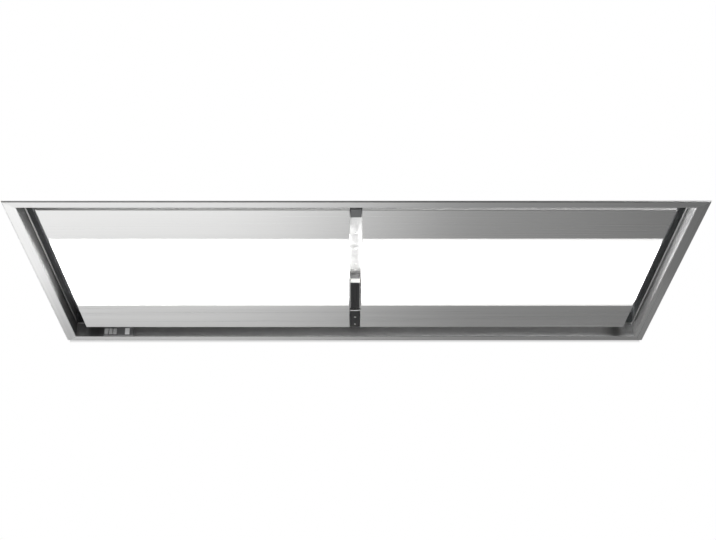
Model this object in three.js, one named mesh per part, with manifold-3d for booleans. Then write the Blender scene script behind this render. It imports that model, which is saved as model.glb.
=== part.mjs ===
// Ceiling range hood with perimeter extraction, 1400 x 700 mm.
//
// A stainless rim lies against the ceiling. Inside it two light panels hang
// above an open slot, where the air goes in. Each panel is hinged at its back
// edge and swings down, and magnets hold its front edge shut. Above the panels
// are four mesh grease filters under a steel deck, then the plenum, and on the
// lid a centrifugal blower with a scroll, a round outlet and two flaps that
// stop air from blowing back.
//
// Millimetres. X runs left to right, Y front to back, Z up. The origin is the
// middle of the ceiling opening, in the plane of the ceiling's lower face.

import * as THREE from "three";
import { mergeVertices } from "three/addons/utils/BufferGeometryUtils.js";
import Module from "manifold-3d";

// ---------------------------------------------------------------- dimensions

// Fits
const seat = 0.3; // between two pieces that touch
const play = 1; // between a panel and what hangs beside it
const bearingPlay = 0.08; // round a pin or shaft

// Trim frame
const rimLength = 1400;
const rimDepth = 700;
const rimWidth = 25;
const rimDrop = 3; // the rim's face below the ceiling
const trimSheet = 1.2;
const trimBend = 2; // outside radius of the fold between rim and wall
const trimLipBend = 2.6; // the rim's outer edge
const trimRise = 34; // the inner wall's top above the ceiling
const mitreGap = 0.2; // each side's end short of the corner's diagonal

// Light panels
const slotWidth = 30; // the air slot round the panels
const panelRecess = 11.5; // a panel's face above the rim's face
const panelGap = 25; // between the two panels
const panelThick = 20;
const panelSheet = 1.2;
const panelHem = 1.6; // steel edge beside the glass, the fold alone
const lightDepth = 340; // the lit glass, front to back
const glassThick = 4;
const boardThick = 1.6;
const boardMargin = 22; // the light board inside the glass edge
const reflectorSheet = 1;
const lightChips = { across: 10, deep: 4, size: 5, height: 1 };

// Panel hinges
const hingeInset = 11; // the axis in front of the panel's back edge
const hingeRise = 7; // the axis above the panel's back
const pinRadius = 3;
const pinHeadRadius = 5;
const pinHeadThick = 2.5;
const pinEnd = 1.5; // the pin past the eye
const eyeRadius = 6.5;
const eyeWidth = 8;
const eyeInset = 22; // the outer eye in from the panel's end
const hingeEar = 3; // sheet of the outer hinge brackets
const hingeEarWidth = 22;
const hingeLeaf = 20;

// Housing
const plateSheet = 1.2;
const plenumHeight = 150;
const wallStart = 2; // the walls' lower edge above the ceiling
const flangeReturn = 15; // folded edges of walls and deck
const lidLip = 14;
const ribHeight = 3;
const ribWidth = 22;

// Filters
const deckLevel = 62; // the deck's lower face
const filterWidth = 300;
const filterDepth = 480;
const filterThick = 10;
const filterRib = 18; // between two filters, and beside the centre rail
const filterFrame = 12;
const filterLap = 8; // how far the deck's edge covers a filter
const padWaves = 24;
const padThick = 3;
const padWave = 2.4; // height of a wave above the pad
const railSheet = 1.2;
const rearLedge = 8;
const latchTravel = 8.5;
const latchGrip = 7.5; // how far the tongue lies over its ledge
const latchSheet = 2;
const latchWidth = 34;
const latchPull = 10;

// Centre rail, catches and covers in the gap
const railWidth = 44;
const railDrop = 29.7; // the centre rail's height under the deck
const catchDepth = 33;
const catchWing = 18;
const catchWingThick = 12;
const magnetWidth = 34;
const coverStart = 49; // connector cover, behind the middle
const coverLength = 139;
const hingeBlockLength = 97;
const blockRecess = 1; // the blocks' faces above the panels' faces

// Controls on the back wall
const controlWidth = 70;
const controlHeight = 20;
const controlThick = 4;
const controlInset = 68; // from the left end of the opening
const keyWidth = 8.8;
const keyTall = 14;
const keyBar = 1.4; // between two keys
const keyMargin = 1.5; // left of the first key
const keyCount = 3;
const keyProud = 1;
const keyTravel = 0.8;
const keyPlay = 0.3;
const windowWidth = 11;
const windowPlace = 21; // the receiver window, right of the middle
const windowRim = 2; // above and below it

// Blower
const fanX = -60;
const fanY = 50;
const wheelRadius = 115;
const wheelInner = 94;
const wheelHeight = 84;
const wheelPlate = 1.5;
const bladeCount = 36;
const bladeThick = 1.2;
const bladeSweep = 0.16; // radians, the tip ahead of the root
const hubRadius = 17;
const hubHeight = 30;
const shaftRadius = 5;
const scrollSheet = 1.2;
const scrollStart = 126; // radius at the tongue
const scrollGrowth = 84; // growth from the tongue to the mouth
const scrollHeight = 112;
const scrollFlange = 9;
const tongueAngle = -35; // degrees
const mouthReach = 165; // from the fan's axis to the mouth
const inletRadius = 88;
const inletRise = 14;
const inletFlange = 12;
const motorRadius = 48;
const motorHeight = 38; // above the scroll's cover
const motorFlange = 62;
const motorFlangeThick = 3;
const motorDip = 6; // into the scroll
const motorVents = 12;

// Outlet
const outletRadius = 74.5;
const outletSheet = 1.5;
const outletLength = 62;
const adapterLength = 70;
const outletRise = 79; // the outlet's centre above the lid
const flapThick = 1;
const flapPlay = 0.8;
const flapPlace = 26; // the flaps' plane, from the start of the collar
const spindleRadius = 2.5;
const stopRing = 4;

// On the lid
const hanger = { sheet: 2.5, width: 40, foot: 34, rise: 24, leaf: 42 };
const hangerInset = { x: 92, y: 58 };
const hangerSlot = { length: 26, width: 9 };
const electricBox = { x: -590, y: -150, length: 210, depth: 130, height: 58 };
const boxSheet = 1.5;
const glandRadius = 10;
const driverBox = { x: 330, y: 90, length: 150, depth: 52, height: 30 };

// -------------------------------------------------------------- derived sizes

const openX = rimLength / 2 - rimWidth;
const openY = rimDepth / 2 - rimWidth;
const rimFace = -rimDrop;
const wallInX = openX + trimSheet + seat;
const wallInY = openY + trimSheet + seat;
const wallOutX = wallInX + plateSheet;
const wallOutY = wallInY + plateSheet;

const panelHalfY = openY - slotWidth;
const panelInner = panelGap / 2;
const panelOuter = openX - slotWidth;
const panelWidth = panelOuter - panelInner;
const panelFace = rimFace + panelRecess;
const panelTop = panelFace + panelThick;
const hingeY = panelHalfY - hingeInset;
const hingeZ = panelTop + hingeRise;

const deckUnder = deckLevel - seat;
const filterTop = deckUnder;
const filterFoot = filterTop - filterThick;
const railBottom = deckLevel - railDrop;
const lidUnder = plenumHeight + seat;
const lidTop = lidUnder + plateSheet;

const blockHalf = panelInner - play;
const blockFace = panelFace + blockRecess;

const scrollBaseTop = lidTop + seat + scrollSheet;
const scrollTop = scrollBaseTop + scrollHeight;
const coverTop = scrollTop + seat + scrollSheet;
const wheelTop = scrollTop - motorDip - 4;
const wheelFoot = wheelTop - wheelHeight;

// ------------------------------------------------------------------ materials

const metal = (color, roughness) =>
  new THREE.MeshStandardMaterial({ color, roughness, metalness: 1 });
const plastic = (color, roughness) =>
  new THREE.MeshStandardMaterial({ color, roughness, metalness: 0 });

const stainless = metal(0xb9b9b7, 0.34);
const galvanised = metal(0x9ca2a4, 0.52);
const aluminium = metal(0xb4b6b8, 0.45);
const zincSteel = metal(0x8d9092, 0.4);
const blackPlastic = plastic(0x191a1b, 0.5);
const greyPlastic = plastic(0x4c4e50, 0.55);
const whitePlastic = plastic(0xe6e6e2, 0.5);
const opalGlass = new THREE.MeshStandardMaterial({
  color: 0xf6f7f5,
  roughness: 0.25,
  metalness: 0,
  emissive: 0xffffff,
  emissiveIntensity: 0.9,
});
const smokedWindow = plastic(0x9a9c9e, 0.2);

// --------------------------------------------------------------- construction

const wasm = await Module();
wasm.setup();

const hood = new THREE.Group();
hood.name = "ceiling_range_hood";

// A closed three.js geometry as a solid that can be cut and joined.
function solid(geometry) {
  const bare = geometry.clone();
  bare.deleteAttribute("normal");
  bare.deleteAttribute("uv");
  const merged = mergeVertices(bare, 1e-4);
  const triangles = [];
  for (let i = 0; i < merged.index.count; i += 3) {
    const [a, b, c] = [0, 1, 2].map((corner) => merged.index.getX(i + corner));
    if (a !== b && b !== c && c !== a) triangles.push(a, b, c);
  }
  const closed = (indices) =>
    new wasm.Manifold(
      new wasm.Mesh({
        numProp: 3,
        vertProperties: merged.attributes.position.array,
        triVerts: new Uint32Array(indices),
      }),
    );
  const made = closed(triangles);
  return made.volume() < 0 ? closed(triangles.reverse()) : made;
}

// A solid's surface as a flat-shaded geometry.
function surface(shape) {
  const mesh = shape.getMesh();
  const geometry = new THREE.BufferGeometry();
  const position = new THREE.BufferAttribute(new Float32Array(mesh.vertProperties), 3);
  geometry.setAttribute("position", position);
  geometry.setIndex(new THREE.BufferAttribute(new Uint32Array(mesh.triVerts), 1));
  const flat = geometry.toNonIndexed();
  flat.computeVertexNormals();
  return flat;
}

// Adds one named piece to the hood.
function piece(name, shape, material) {
  const mesh = new THREE.Mesh(surface(shape), material);
  mesh.name = name;
  hood.add(mesh);
}

const unite = (first, ...others) => others.reduce((all, one) => all.add(one), first);
const cut = (first, ...others) => others.reduce((all, one) => all.subtract(one), first);
const inOrder = (a, b) => (a < b ? [a, b] : [b, a]);

// A box between two values on each axis.
function block([x0, x1], [y0, y1], [z0, z1]) {
  const geometry = new THREE.BoxGeometry(x1 - x0, y1 - y0, z1 - z0);
  geometry.translate((x0 + x1) / 2, (y0 + y1) / 2, (z0 + z1) / 2);
  return solid(geometry);
}

const axisX = new THREE.Vector3(1, 0, 0);
const axisY = new THREE.Vector3(0, 1, 0);
const axisZ = new THREE.Vector3(0, 0, 1);
const frames = {
  x: new THREE.Matrix4().makeBasis(axisY, axisZ, axisX),
  y: new THREE.Matrix4().makeBasis(axisZ, axisX, axisY),
  z: new THREE.Matrix4(),
};

// Moves every point of a geometry: move takes and returns [x, y, z].
function warp(geometry, move) {
  const points = geometry.attributes.position;
  for (let i = 0; i < points.count; i++) {
    points.setXYZ(i, ...move([points.getX(i), points.getY(i), points.getZ(i)]));
  }
  return geometry;
}

// An outline extruded along an axis. Its points are [y, z], [x, z] or [x, y].
function prism(axis, outline, from, to) {
  const inPlane = ([a, b]) => (axis === "y" ? new THREE.Vector2(b, a) : new THREE.Vector2(a, b));
  const shape = new THREE.Shape(outline.map(inPlane));
  const geometry = new THREE.ExtrudeGeometry(shape, { depth: to - from, bevelEnabled: false });
  geometry.translate(0, 0, from);
  geometry.applyMatrix4(frames[axis]);
  return solid(geometry);
}

// Points of an arc, both ends included.
function arc([cx, cy], radius, start, end, steps) {
  return Array.from({ length: steps + 1 }, (_, i) => {
    const angle = start + ((end - start) * i) / steps;
    return [cx + radius * Math.cos(angle), cy + radius * Math.sin(angle)];
  });
}

const ring = (centre, radius, sides) => arc(centre, radius, 0, 2 * Math.PI, sides).slice(0, -1);

// A round bar along an axis: centre is the two other coordinates, in order.
function bar(axis, centre, radius, from, to, sides = 24) {
  return prism(axis, ring(centre, radius, sides), from, to);
}

// A profile of [radius, height] points turned about a vertical axis.
function turned(profile, x, y, sides = 40) {
  const geometry = new THREE.LatheGeometry(
    profile.map(([r, z]) => new THREE.Vector2(r, z)),
    sides,
  );
  geometry.rotateX(Math.PI / 2);
  geometry.translate(x, y, 0);
  return solid(geometry);
}

// A slot with round ends, centred, long in the first direction.
function slotOutline([cx, cy], length, width, steps = 8) {
  const reach = (length - width) / 2;
  return [
    ...arc([cx + reach, cy], width / 2, -Math.PI / 2, Math.PI / 2, steps),
    ...arc([cx - reach, cy], width / 2, Math.PI / 2, (3 * Math.PI) / 2, steps),
  ];
}

// ----------------------------------------------------------------- trim frame

// Section of the trim: [outwards from the inner wall's face, height].
const trimSection = (() => {
  const inner = trimBend - trimSheet;
  return [
    [0, trimRise],
    ...arc([trimBend, rimFace + trimBend], trimBend, Math.PI, 1.5 * Math.PI, 4),
    ...arc([rimWidth - trimLipBend, rimFace + trimLipBend], trimLipBend, -Math.PI / 2, 0, 3),
    [rimWidth, 0],
    [rimWidth - trimSheet, 0],
    ...arc(
      [rimWidth - trimLipBend, rimFace + trimLipBend],
      trimLipBend - trimSheet,
      0,
      -Math.PI / 2,
      3,
    ),
    ...arc([trimBend, rimFace + trimBend], inner, 1.5 * Math.PI, Math.PI, 4),
    [trimSheet, trimRise],
  ];
})();

// One side of the frame, mitred: each point of the section ends further out
// the further it lies from the inner wall. Made as the back side, then turned.
function trimSide(halfAlong, halfAcross, degrees) {
  const shape = new THREE.Shape(trimSection.map(([out, z]) => new THREE.Vector2(out, z)));
  const geometry = new THREE.ExtrudeGeometry(shape, { depth: 1, bevelEnabled: false });
  warp(geometry, ([out, height, end]) => [
    (end > 0.5 ? 1 : -1) * (halfAlong + out - mitreGap),
    halfAcross + out,
    height,
  ]);
  geometry.rotateZ(THREE.MathUtils.degToRad(degrees));
  return solid(geometry);
}

piece("trim_back", trimSide(openX, openY, 0), stainless);
piece("trim_left", trimSide(openY, openX, 90), stainless);
piece("trim_front", trimSide(openX, openY, 180), stainless);
piece("trim_right", trimSide(openY, openX, -90), stainless);

// -------------------------------------------------------------------- housing

// Front and back walls run the full length. The side walls stand between them
// and fold round the corners.
function longWall(sign) {
  const at = (y, z) => [sign * y, z];
  return prism(
    "x",
    [
      at(wallInY, wallStart),
      at(wallOutY, wallStart),
      at(wallOutY, plenumHeight),
      at(wallInY - flangeReturn, plenumHeight),
      at(wallInY - flangeReturn, plenumHeight - plateSheet),
      at(wallInY, plenumHeight - plateSheet),
    ],
    -wallOutX,
    wallOutX,
  );
}

function endWall(sign) {
  const halfY = wallInY - seat;
  const tabTop = plenumHeight - plateSheet - seat;
  const outline = [
    [sign * wallInX, wallStart],
    [sign * wallOutX, wallStart],
    [sign * wallOutX, tabTop],
    [sign * wallInX, tabTop],
  ];
  const wall = prism("y", outline, -halfY, halfY);
  const tabs = [-1, 1].map((side) => {
    const ys = inOrder(side * halfY, side * (halfY - plateSheet));
    const xs = inOrder(sign * (wallInX - flangeReturn), sign * wallOutX);
    return block(xs, ys, [trimRise + seat, tabTop]);
  });
  return unite(wall, ...tabs);
}

piece("housing_front_wall", longWall(-1), galvanised);
piece("housing_back_wall", longWall(1), galvanised);
piece("housing_left_wall", endWall(-1), galvanised);
piece("housing_right_wall", endWall(1), galvanised);

// The lid's pressed rib: a low ridge with sloping sides.
function lidRib(x, y, length) {
  const half = ribWidth / 2;
  const ridge = [
    [y - half, lidTop - plateSheet / 2],
    [y + half, lidTop - plateSheet / 2],
    [y + half, lidTop],
    [y + half - ribHeight, lidTop + ribHeight],
    [y - half + ribHeight, lidTop + ribHeight],
    [y - half, lidTop],
  ];
  return prism("x", ridge, x - length / 2, x + length / 2);
}

const lidX = wallOutX + seat + plateSheet;
const lidY = wallOutY + seat + plateSheet;
const lid = (() => {
  const outer = block([-lidX, lidX], [-lidY, lidY], [lidTop - plateSheet - lidLip, lidTop]);
  const hollow = block(
    [-lidX + plateSheet, lidX - plateSheet],
    [-lidY + plateSheet, lidY - plateSheet],
    [lidTop - plateSheet - lidLip - 1, lidUnder],
  );
  const ribs = [
    [-490, 60, 260],
    [-490, 120, 260],
    [500, -90, 250],
    [500, -30, 250],
    [500, 30, 250],
  ].map(([x, y, length]) => lidRib(x, y, length));
  const inlet = bar("z", [fanX, fanY], inletRadius + inletFlange - 2, 0, lidTop + 1, 48);
  return cut(unite(cut(outer, hollow), ...ribs), inlet);
})();
piece("housing_lid", lid, galvanised);

// Hangers for threaded rods: a foot on the lid, a riser and a slotted leaf.
function hangerShape(signX, signY) {
  const { sheet, width, foot, rise, leaf } = hanger;
  const x = signX * (lidX - hangerInset.x);
  const y = signY * (lidY - hangerInset.y);
  const base = lidTop + seat;
  const at = (reach, z) => [x + signX * reach, z];
  const section = [
    at(-foot, base),
    at(sheet, base),
    at(sheet, base + rise - sheet),
    at(leaf, base + rise - sheet),
    at(leaf, base + rise),
    at(0, base + rise),
    at(0, base + sheet),
    at(-foot, base + sheet),
  ];
  const body = prism("y", section, y - width / 2, y + width / 2);
  const centre = x + signX * (leaf / 2 + sheet / 2);
  const slot = slotOutline([centre, y], hangerSlot.length, hangerSlot.width);
  return cut(body, prism("z", slot, base + sheet + 1, base + rise + 1));
}

for (const [name, signX, signY] of [
  ["hanger_front_left", -1, -1],
  ["hanger_front_right", 1, -1],
  ["hanger_back_left", -1, 1],
  ["hanger_back_right", 1, 1],
]) {
  piece(name, hangerShape(signX, signY), zincSteel);
}

// -------------------------------------------------------------------- filters

const filterCentres = [-1, 1]
  .flatMap((side) => [0, 1].map((n) => side * filterCentre(n)))
  .sort((a, b) => a - b);

function filterCentre(n) {
  return railWidth / 2 + filterRib + filterWidth / 2 + n * (filterWidth + filterRib);
}

const deckX = wallInX - seat;
const deckY = wallInY - seat - plateSheet - seat;
const deck = (() => {
  const windowX = filterWidth / 2 - filterLap;
  const windowY = filterDepth / 2 - filterLap;
  const plate = block([-deckX, deckX], [-deckY, deckY], [deckLevel, deckLevel + plateSheet]);
  const windows = filterCentres.map((x) =>
    block([x - windowX, x + windowX], [-windowY, windowY], [deckLevel - 1, deckLevel + 2]),
  );
  const edge = [deckLevel, deckLevel + flangeReturn];
  const long = [-1, 1].map((s) => {
    const ys = inOrder(s * deckY, s * (deckY - plateSheet));
    return block([-deckX + flangeReturn, deckX - flangeReturn], ys, edge);
  });
  return unite(cut(plate, ...windows), ...long);
})();
piece("filter_deck", deck, galvanised);

// A filter: a channel frame round a pad of waved mesh.
function filterShape(x) {
  const halfX = filterWidth / 2;
  const halfY = filterDepth / 2;
  const inX = halfX - filterFrame;
  const inY = halfY - filterFrame;
  const frame = cut(
    block([x - halfX, x + halfX], [-halfY, halfY], [filterFoot, filterTop]),
    block([x - inX, x + inX], [-inY, inY], [filterFoot - 1, filterTop + 1]),
  );
  const steps = 2 * padWaves;
  const pad = new THREE.BoxGeometry(2 * inX + 2, 2 * inY + 2, padThick, steps, 1, 1);
  warp(pad, ([px, py, pz]) => {
    const step = Math.round((px / (2 * inX + 2) + 0.5) * steps);
    return [px, py, pz + (step % 2 ? padWave / 2 : -padWave / 2)];
  });
  pad.translate(x, 0, (filterFoot + filterTop) / 2);
  return unite(frame, solid(pad));
}

// The latch under a filter's front edge: a tongue over the front ledge, and a
// lip that a finger pulls.
const tongueTop = filterFoot - seat;
const tongueFoot = tongueTop - latchSheet;
const ledgeEnd = -filterDepth / 2 - 3;
const tongueTip = ledgeEnd - latchGrip;

function latchShape(x) {
  const tongue = block(
    [x - latchWidth / 4, x + latchWidth / 4],
    [tongueTip, ledgeEnd + latchTravel + 4],
    [tongueFoot, tongueTop],
  );
  const back = ledgeEnd + latchTravel + 26;
  const slide = block(
    [x - latchWidth / 2, x + latchWidth / 2],
    [ledgeEnd + 3, back],
    [tongueFoot, tongueTop],
  );
  const pull = block(
    [x - latchWidth / 2, x + latchWidth / 2],
    [back - latchSheet, back],
    [tongueFoot - latchPull, tongueTop],
  );
  return unite(tongue, slide, pull);
}

filterCentres.forEach((x, i) => {
  piece(`filter_${i + 1}`, filterShape(x), aluminium);
  piece(`filter_latch_${i + 1}`, latchShape(x), stainless);
});

// Rails under the deck: the front one is the ledge for the latches, the back
// one carries the filters' back edges. Both are notched at the centre blocks.
const railReach = filterCentre(1) + filterWidth / 2;
const railFlange = 15;
const ledgeTop = tongueFoot - seat;
const frontWeb = tongueTip - 1.5;
const frontRail = cut(
  prism(
    "x",
    [
      [frontWeb - railFlange, deckUnder],
      [frontWeb - railFlange, deckUnder - railSheet],
      [frontWeb - railSheet, deckUnder - railSheet],
      [frontWeb - railSheet, ledgeTop - railSheet],
      [ledgeEnd, ledgeTop - railSheet],
      [ledgeEnd, ledgeTop],
      [frontWeb, ledgeTop],
      [frontWeb, deckUnder],
    ],
    -railReach,
    railReach,
  ),
  block([-railWidth / 2, railWidth / 2], [-openY, 0], [0, deckUnder - railSheet]),
);
piece("filter_rail_front", frontRail, zincSteel);

const rearWeb = filterDepth / 2 + 1;
const rearRail = cut(
  prism(
    "x",
    [
      [rearWeb + railFlange, deckUnder],
      [rearWeb + railFlange, deckUnder - railSheet],
      [rearWeb + railSheet, deckUnder - railSheet],
      [rearWeb + railSheet, filterFoot - seat - railSheet],
      [rearWeb - rearLedge, filterFoot - seat - railSheet],
      [rearWeb - rearLedge, filterFoot - seat],
      [rearWeb, filterFoot - seat],
      [rearWeb, deckUnder],
    ],
    -railReach,
    railReach,
  ),
  block([-railWidth / 2, railWidth / 2], [0, openY], [0, deckUnder - railSheet]),
);
piece("filter_rail_back", rearRail, zincSteel);

// ------------------------------------------------------------- the centre gap

const underRail = deckUnder - railSheet - seat; // top of what hangs from a rail's flange
const coverEnd = coverStart + coverLength;
const blockFront = panelHalfY - hingeBlockLength;
const railFront = -filterDepth / 2 + 4;

const centreRail = (() => {
  const half = railWidth / 2;
  const section = [
    [-half, deckUnder],
    [-half, railBottom],
    [half, railBottom],
    [half, deckUnder],
    [half - railSheet, deckUnder],
    [half - railSheet, railBottom + railSheet],
    [-half + railSheet, railBottom + railSheet],
    [-half + railSheet, deckUnder],
  ];
  return prism("y", section, railFront, blockFront - play);
})();
piece("centre_rail", centreRail, stainless);

// Front catch: a stem in the gap with a magnet over each panel's corner.
const catchFront = -panelHalfY;
const catchBack = catchFront + catchDepth;
const magnetFoot = panelTop + seat;
const centreCatch = unite(
  block([-blockHalf, blockHalf], [catchFront, catchBack], [blockFace, underRail]),
  block(
    [-panelInner - catchWing, panelInner + catchWing],
    [catchFront + 2, catchBack - 3],
    [magnetFoot, magnetFoot + catchWingThick],
  ),
);
piece("centre_catch", centreCatch, greyPlastic);

// A catch over each panel's outer front corner, hanging from the deck.
function sideCatch(sign) {
  const outer = sign * (panelOuter - 12);
  const inner = sign * (panelOuter - 12 - magnetWidth);
  const xs = inOrder(outer, inner);
  const neck = [xs[0] + 8, xs[1] - 8];
  return unite(
    block(xs, [catchFront + 4, catchBack - 3], [magnetFoot, magnetFoot + catchWingThick]),
    block(neck, [catchFront + 8, catchBack - 7], [magnetFoot, deckUnder]),
  );
}
piece("left_catch", sideCatch(-1), greyPlastic);
piece("right_catch", sideCatch(1), greyPlastic);

// Cover over the connectors of the lights' leads.
const connectorCover = prism(
  "x",
  [
    [coverStart, railBottom - seat],
    [coverStart, blockFace + 3],
    [coverStart + 3, blockFace],
    [coverEnd - 3, blockFace],
    [coverEnd, blockFace + 3],
    [coverEnd, railBottom - seat],
  ],
  -blockHalf,
  blockHalf,
);
piece("connector_cover", connectorCover, blackPlastic);

// Hinge block between the panels, with a pin through it into both of them.
const hingeHole = (from, to) => bar("x", [hingeY, hingeZ], pinRadius + bearingPlay, from, to);
const innerEye = panelInner + play + seat;
const pinReach = innerEye + eyeWidth + pinEnd;
const hingeBlock = unite(
  prism(
    "x",
    [
      [blockFront, underRail],
      [blockFront, blockFace + 2],
      [blockFront + 2, blockFace],
      [panelHalfY - 3, blockFace],
      [panelHalfY, blockFace + 3],
      [panelHalfY, underRail],
    ],
    -blockHalf,
    blockHalf,
  ),
  bar("x", [hingeY, hingeZ], pinRadius, -pinReach, pinReach),
);
piece("centre_hinge_block", hingeBlock, blackPlastic);

// Outer hinge brackets: an ear with its pin riveted in, hanging from a leaf on
// the deck. Up to its shoulder the ear is no wider than the panel's own eyes, so
// the panel's back edge passes it on the way up.
const outerEye = panelOuter - eyeInset;
const earIn = outerEye + play;
const earOut = earIn + hingeEar;
function hingeBracket(sign) {
  const half = hingeEarWidth / 2;
  const shoulder = hingeZ + Math.hypot(hingeInset, hingeRise) + play;
  const flare = shoulder + half - eyeRadius;
  const outline = [
    ...arc([hingeY, hingeZ], eyeRadius, Math.PI, 2 * Math.PI, 12),
    [hingeY + eyeRadius, shoulder],
    [hingeY + half, flare],
    [hingeY + half, deckUnder],
    [hingeY - half, deckUnder],
    [hingeY - half, flare],
    [hingeY - eyeRadius, shoulder],
  ];
  const body = unite(
    prism("x", outline, ...inOrder(sign * earIn, sign * earOut)),
    block(
      inOrder(sign * earIn, sign * (earIn + hingeLeaf)),
      [hingeY - half, hingeY + half],
      [deckUnder - hingeEar, deckUnder],
    ),
  );
  const pinTip = outerEye - eyeWidth - pinEnd;
  const pin = bar("x", [hingeY, hingeZ], pinRadius, ...inOrder(sign * pinTip, sign * earOut));
  const head = inOrder(sign * earOut, sign * (earOut + pinHeadThick));
  return unite(body, pin, bar("x", [hingeY, hingeZ], pinHeadRadius, ...head));
}
piece("left_hinge_bracket", hingeBracket(-1), zincSteel);
piece("right_hinge_bracket", hingeBracket(1), zincSteel);

// --------------------------------------------------------------- light panels

// Each panel: a folded tray with the glass in its middle, the light board over
// the glass, and a back cover.
function buildPanel(name, sign) {
  const range = (from, to) => inOrder(sign * from, sign * to);
  const outside = range(panelInner, panelOuter);
  const inside = range(panelInner + panelSheet, panelOuter - panelSheet);
  const glassX = range(panelInner + panelHem, panelOuter - panelHem);
  const glassY = [-lightDepth / 2, lightDepth / 2];
  const shell = cut(
    block(outside, [-panelHalfY, panelHalfY], [panelFace, panelTop]),
    block(
      inside,
      [-panelHalfY + panelSheet, panelHalfY - panelSheet],
      [panelFace + panelSheet, panelTop + 1],
    ),
    block(glassX, glassY, [panelFace - 1, panelTop]),
  );
  // Two eyes stand on the floor of the tray and hold the hinge pins.
  const eyes = [range(innerEye, innerEye + eyeWidth), range(outerEye - eyeWidth, outerEye)];
  const eyeOutline = [
    [hingeY - eyeRadius, panelFace + panelSheet / 2],
    [hingeY + eyeRadius, panelFace + panelSheet / 2],
    ...arc([hingeY, hingeZ], eyeRadius, 0, Math.PI, 12),
  ];
  const tray = unite(shell, ...eyes.map((xs) => prism("x", eyeOutline, ...xs)));
  const holes = eyes.map(([x0, x1]) => hingeHole(x0 - 1, x1 + 1));
  piece(`${name}_tray`, cut(tray, ...holes), stainless);

  const shrink = ([a, b], by) => [a + by, b - by];
  const glassTop = panelFace + glassThick;
  piece(
    `${name}_diffuser`,
    block(shrink(glassX, seat), shrink(glassY, seat), [panelFace, glassTop]),
    opalGlass,
  );

  // The board's rim stands on the glass and keeps the light inside.
  const boardTop = panelTop - panelSheet - seat * 2;
  const boardFoot = boardTop - boardThick;
  const rimOut = [shrink(glassX, 2), shrink(glassY, 2)];
  const rimIn = [shrink(glassX, 2 + reflectorSheet), shrink(glassY, 2 + reflectorSheet)];
  const lightBoard = cut(
    block(...rimOut, [glassTop + seat, boardTop]),
    block(...rimIn, [glassTop, boardFoot]),
  );
  const { across, deep, size, height } = lightChips;
  const [x0, x1] = shrink(glassX, boardMargin);
  const [y0, y1] = shrink(glassY, boardMargin);
  const chips = [];
  for (let i = 0; i < across; i++) {
    for (let j = 0; j < deep; j++) {
      const x = x0 + ((x1 - x0) * i) / (across - 1);
      const y = y0 + ((y1 - y0) * j) / (deep - 1);
      const chipZ = [boardFoot - height, boardFoot + boardThick / 2];
      chips.push(block([x - size / 2, x + size / 2], [y - size / 2, y + size / 2], chipZ));
    }
  }
  piece(`${name}_light_board`, unite(lightBoard, ...chips), whitePlastic);

  const coverY = panelHalfY - panelSheet - seat;
  const backCover = cut(
    block(shrink(outside, panelSheet + seat), [-coverY, coverY], [panelTop - panelSheet, panelTop]),
    ...eyes.map((xs) =>
      block(shrink(xs, -play), [hingeY - eyeRadius - play, panelHalfY], [panelFace, panelTop + 1]),
    ),
  );
  piece(`${name}_back_cover`, backCover, galvanised);
}
buildPanel("left_panel", -1);
buildPanel("right_panel", 1);

// ------------------------------------------------------------------- controls

const controlLeft = -openX + controlInset;
const controlRight = controlLeft + controlWidth;
const controlMiddle = (controlLeft + controlRight) / 2;
const controlBack = openY - seat;
const controlFront = controlBack - controlThick;
const controlFoot = rimFace + trimBend;
const controlTop = controlFoot + controlHeight;
const keyHeight = (controlFoot + controlTop) / 2;
const keyCentres = Array.from(
  { length: keyCount },
  (_, i) => controlLeft + keyMargin + keyWidth / 2 + i * (keyWidth + keyBar),
);
const key = (x, play, front, back) =>
  block(
    [x - keyWidth / 2 - play, x + keyWidth / 2 + play],
    [front, back],
    [keyHeight - keyTall / 2 - play, keyHeight + keyTall / 2 + play],
  );
const windowX = [
  controlMiddle + windowPlace - windowWidth / 2,
  controlMiddle + windowPlace + windowWidth / 2,
];
const windowZ = [controlFoot + windowRim, controlTop - windowRim];
const windowDip = 1.5;

const bezel = cut(
  block([controlLeft, controlRight], [controlFront, controlBack], [controlFoot, controlTop]),
  ...keyCentres.map((x) => key(x, keyPlay, controlFront - 1, controlBack + 1)),
  block(
    [windowX[0] - seat, windowX[1] + seat],
    [controlFront - 1, controlFront + windowDip + seat],
    [windowZ[0] - seat, windowZ[1] + seat],
  ),
);
piece("control_bezel", bezel, blackPlastic);
piece(
  "receiver_window",
  block(windowX, [controlFront, controlFront + windowDip], windowZ),
  smokedWindow,
);
keyCentres.forEach((x, i) => {
  const back = controlBack - keyTravel - seat;
  piece(`key_${i + 1}`, key(x, 0, controlFront - keyProud, back), greyPlastic);
});

// --------------------------------------------------------------------- blower

// The scroll's inner face, from the tongue round to the mouth.
const tongue = THREE.MathUtils.degToRad(tongueAngle);
const turn = THREE.MathUtils.degToRad(270) - tongue;
const scrollSteps = 40;
const mouthX = fanX + mouthReach;
const mouthOuterY = fanY - scrollStart - scrollGrowth;
const mouthInnerY = fanY + scrollStart * Math.sin(tongue);
function scrollPath(offset) {
  const start = Math.asin((mouthInnerY + offset - fanY) / (scrollStart + offset));
  return Array.from({ length: scrollSteps + 1 }, (_, i) => {
    const angle = start + ((tongue + turn - start) * i) / scrollSteps;
    const r = scrollStart + (scrollGrowth * (angle - tongue)) / turn + offset;
    return [fanX + r * Math.cos(angle), fanY + r * Math.sin(angle)];
  });
}

// The tongue's end runs straight to the mouth, on the side of the axis.
function scrollOutline(offset) {
  const path = scrollPath(offset);
  return [[mouthX, mouthInnerY + offset], ...path, [mouthX, mouthOuterY - offset]];
}

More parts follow.
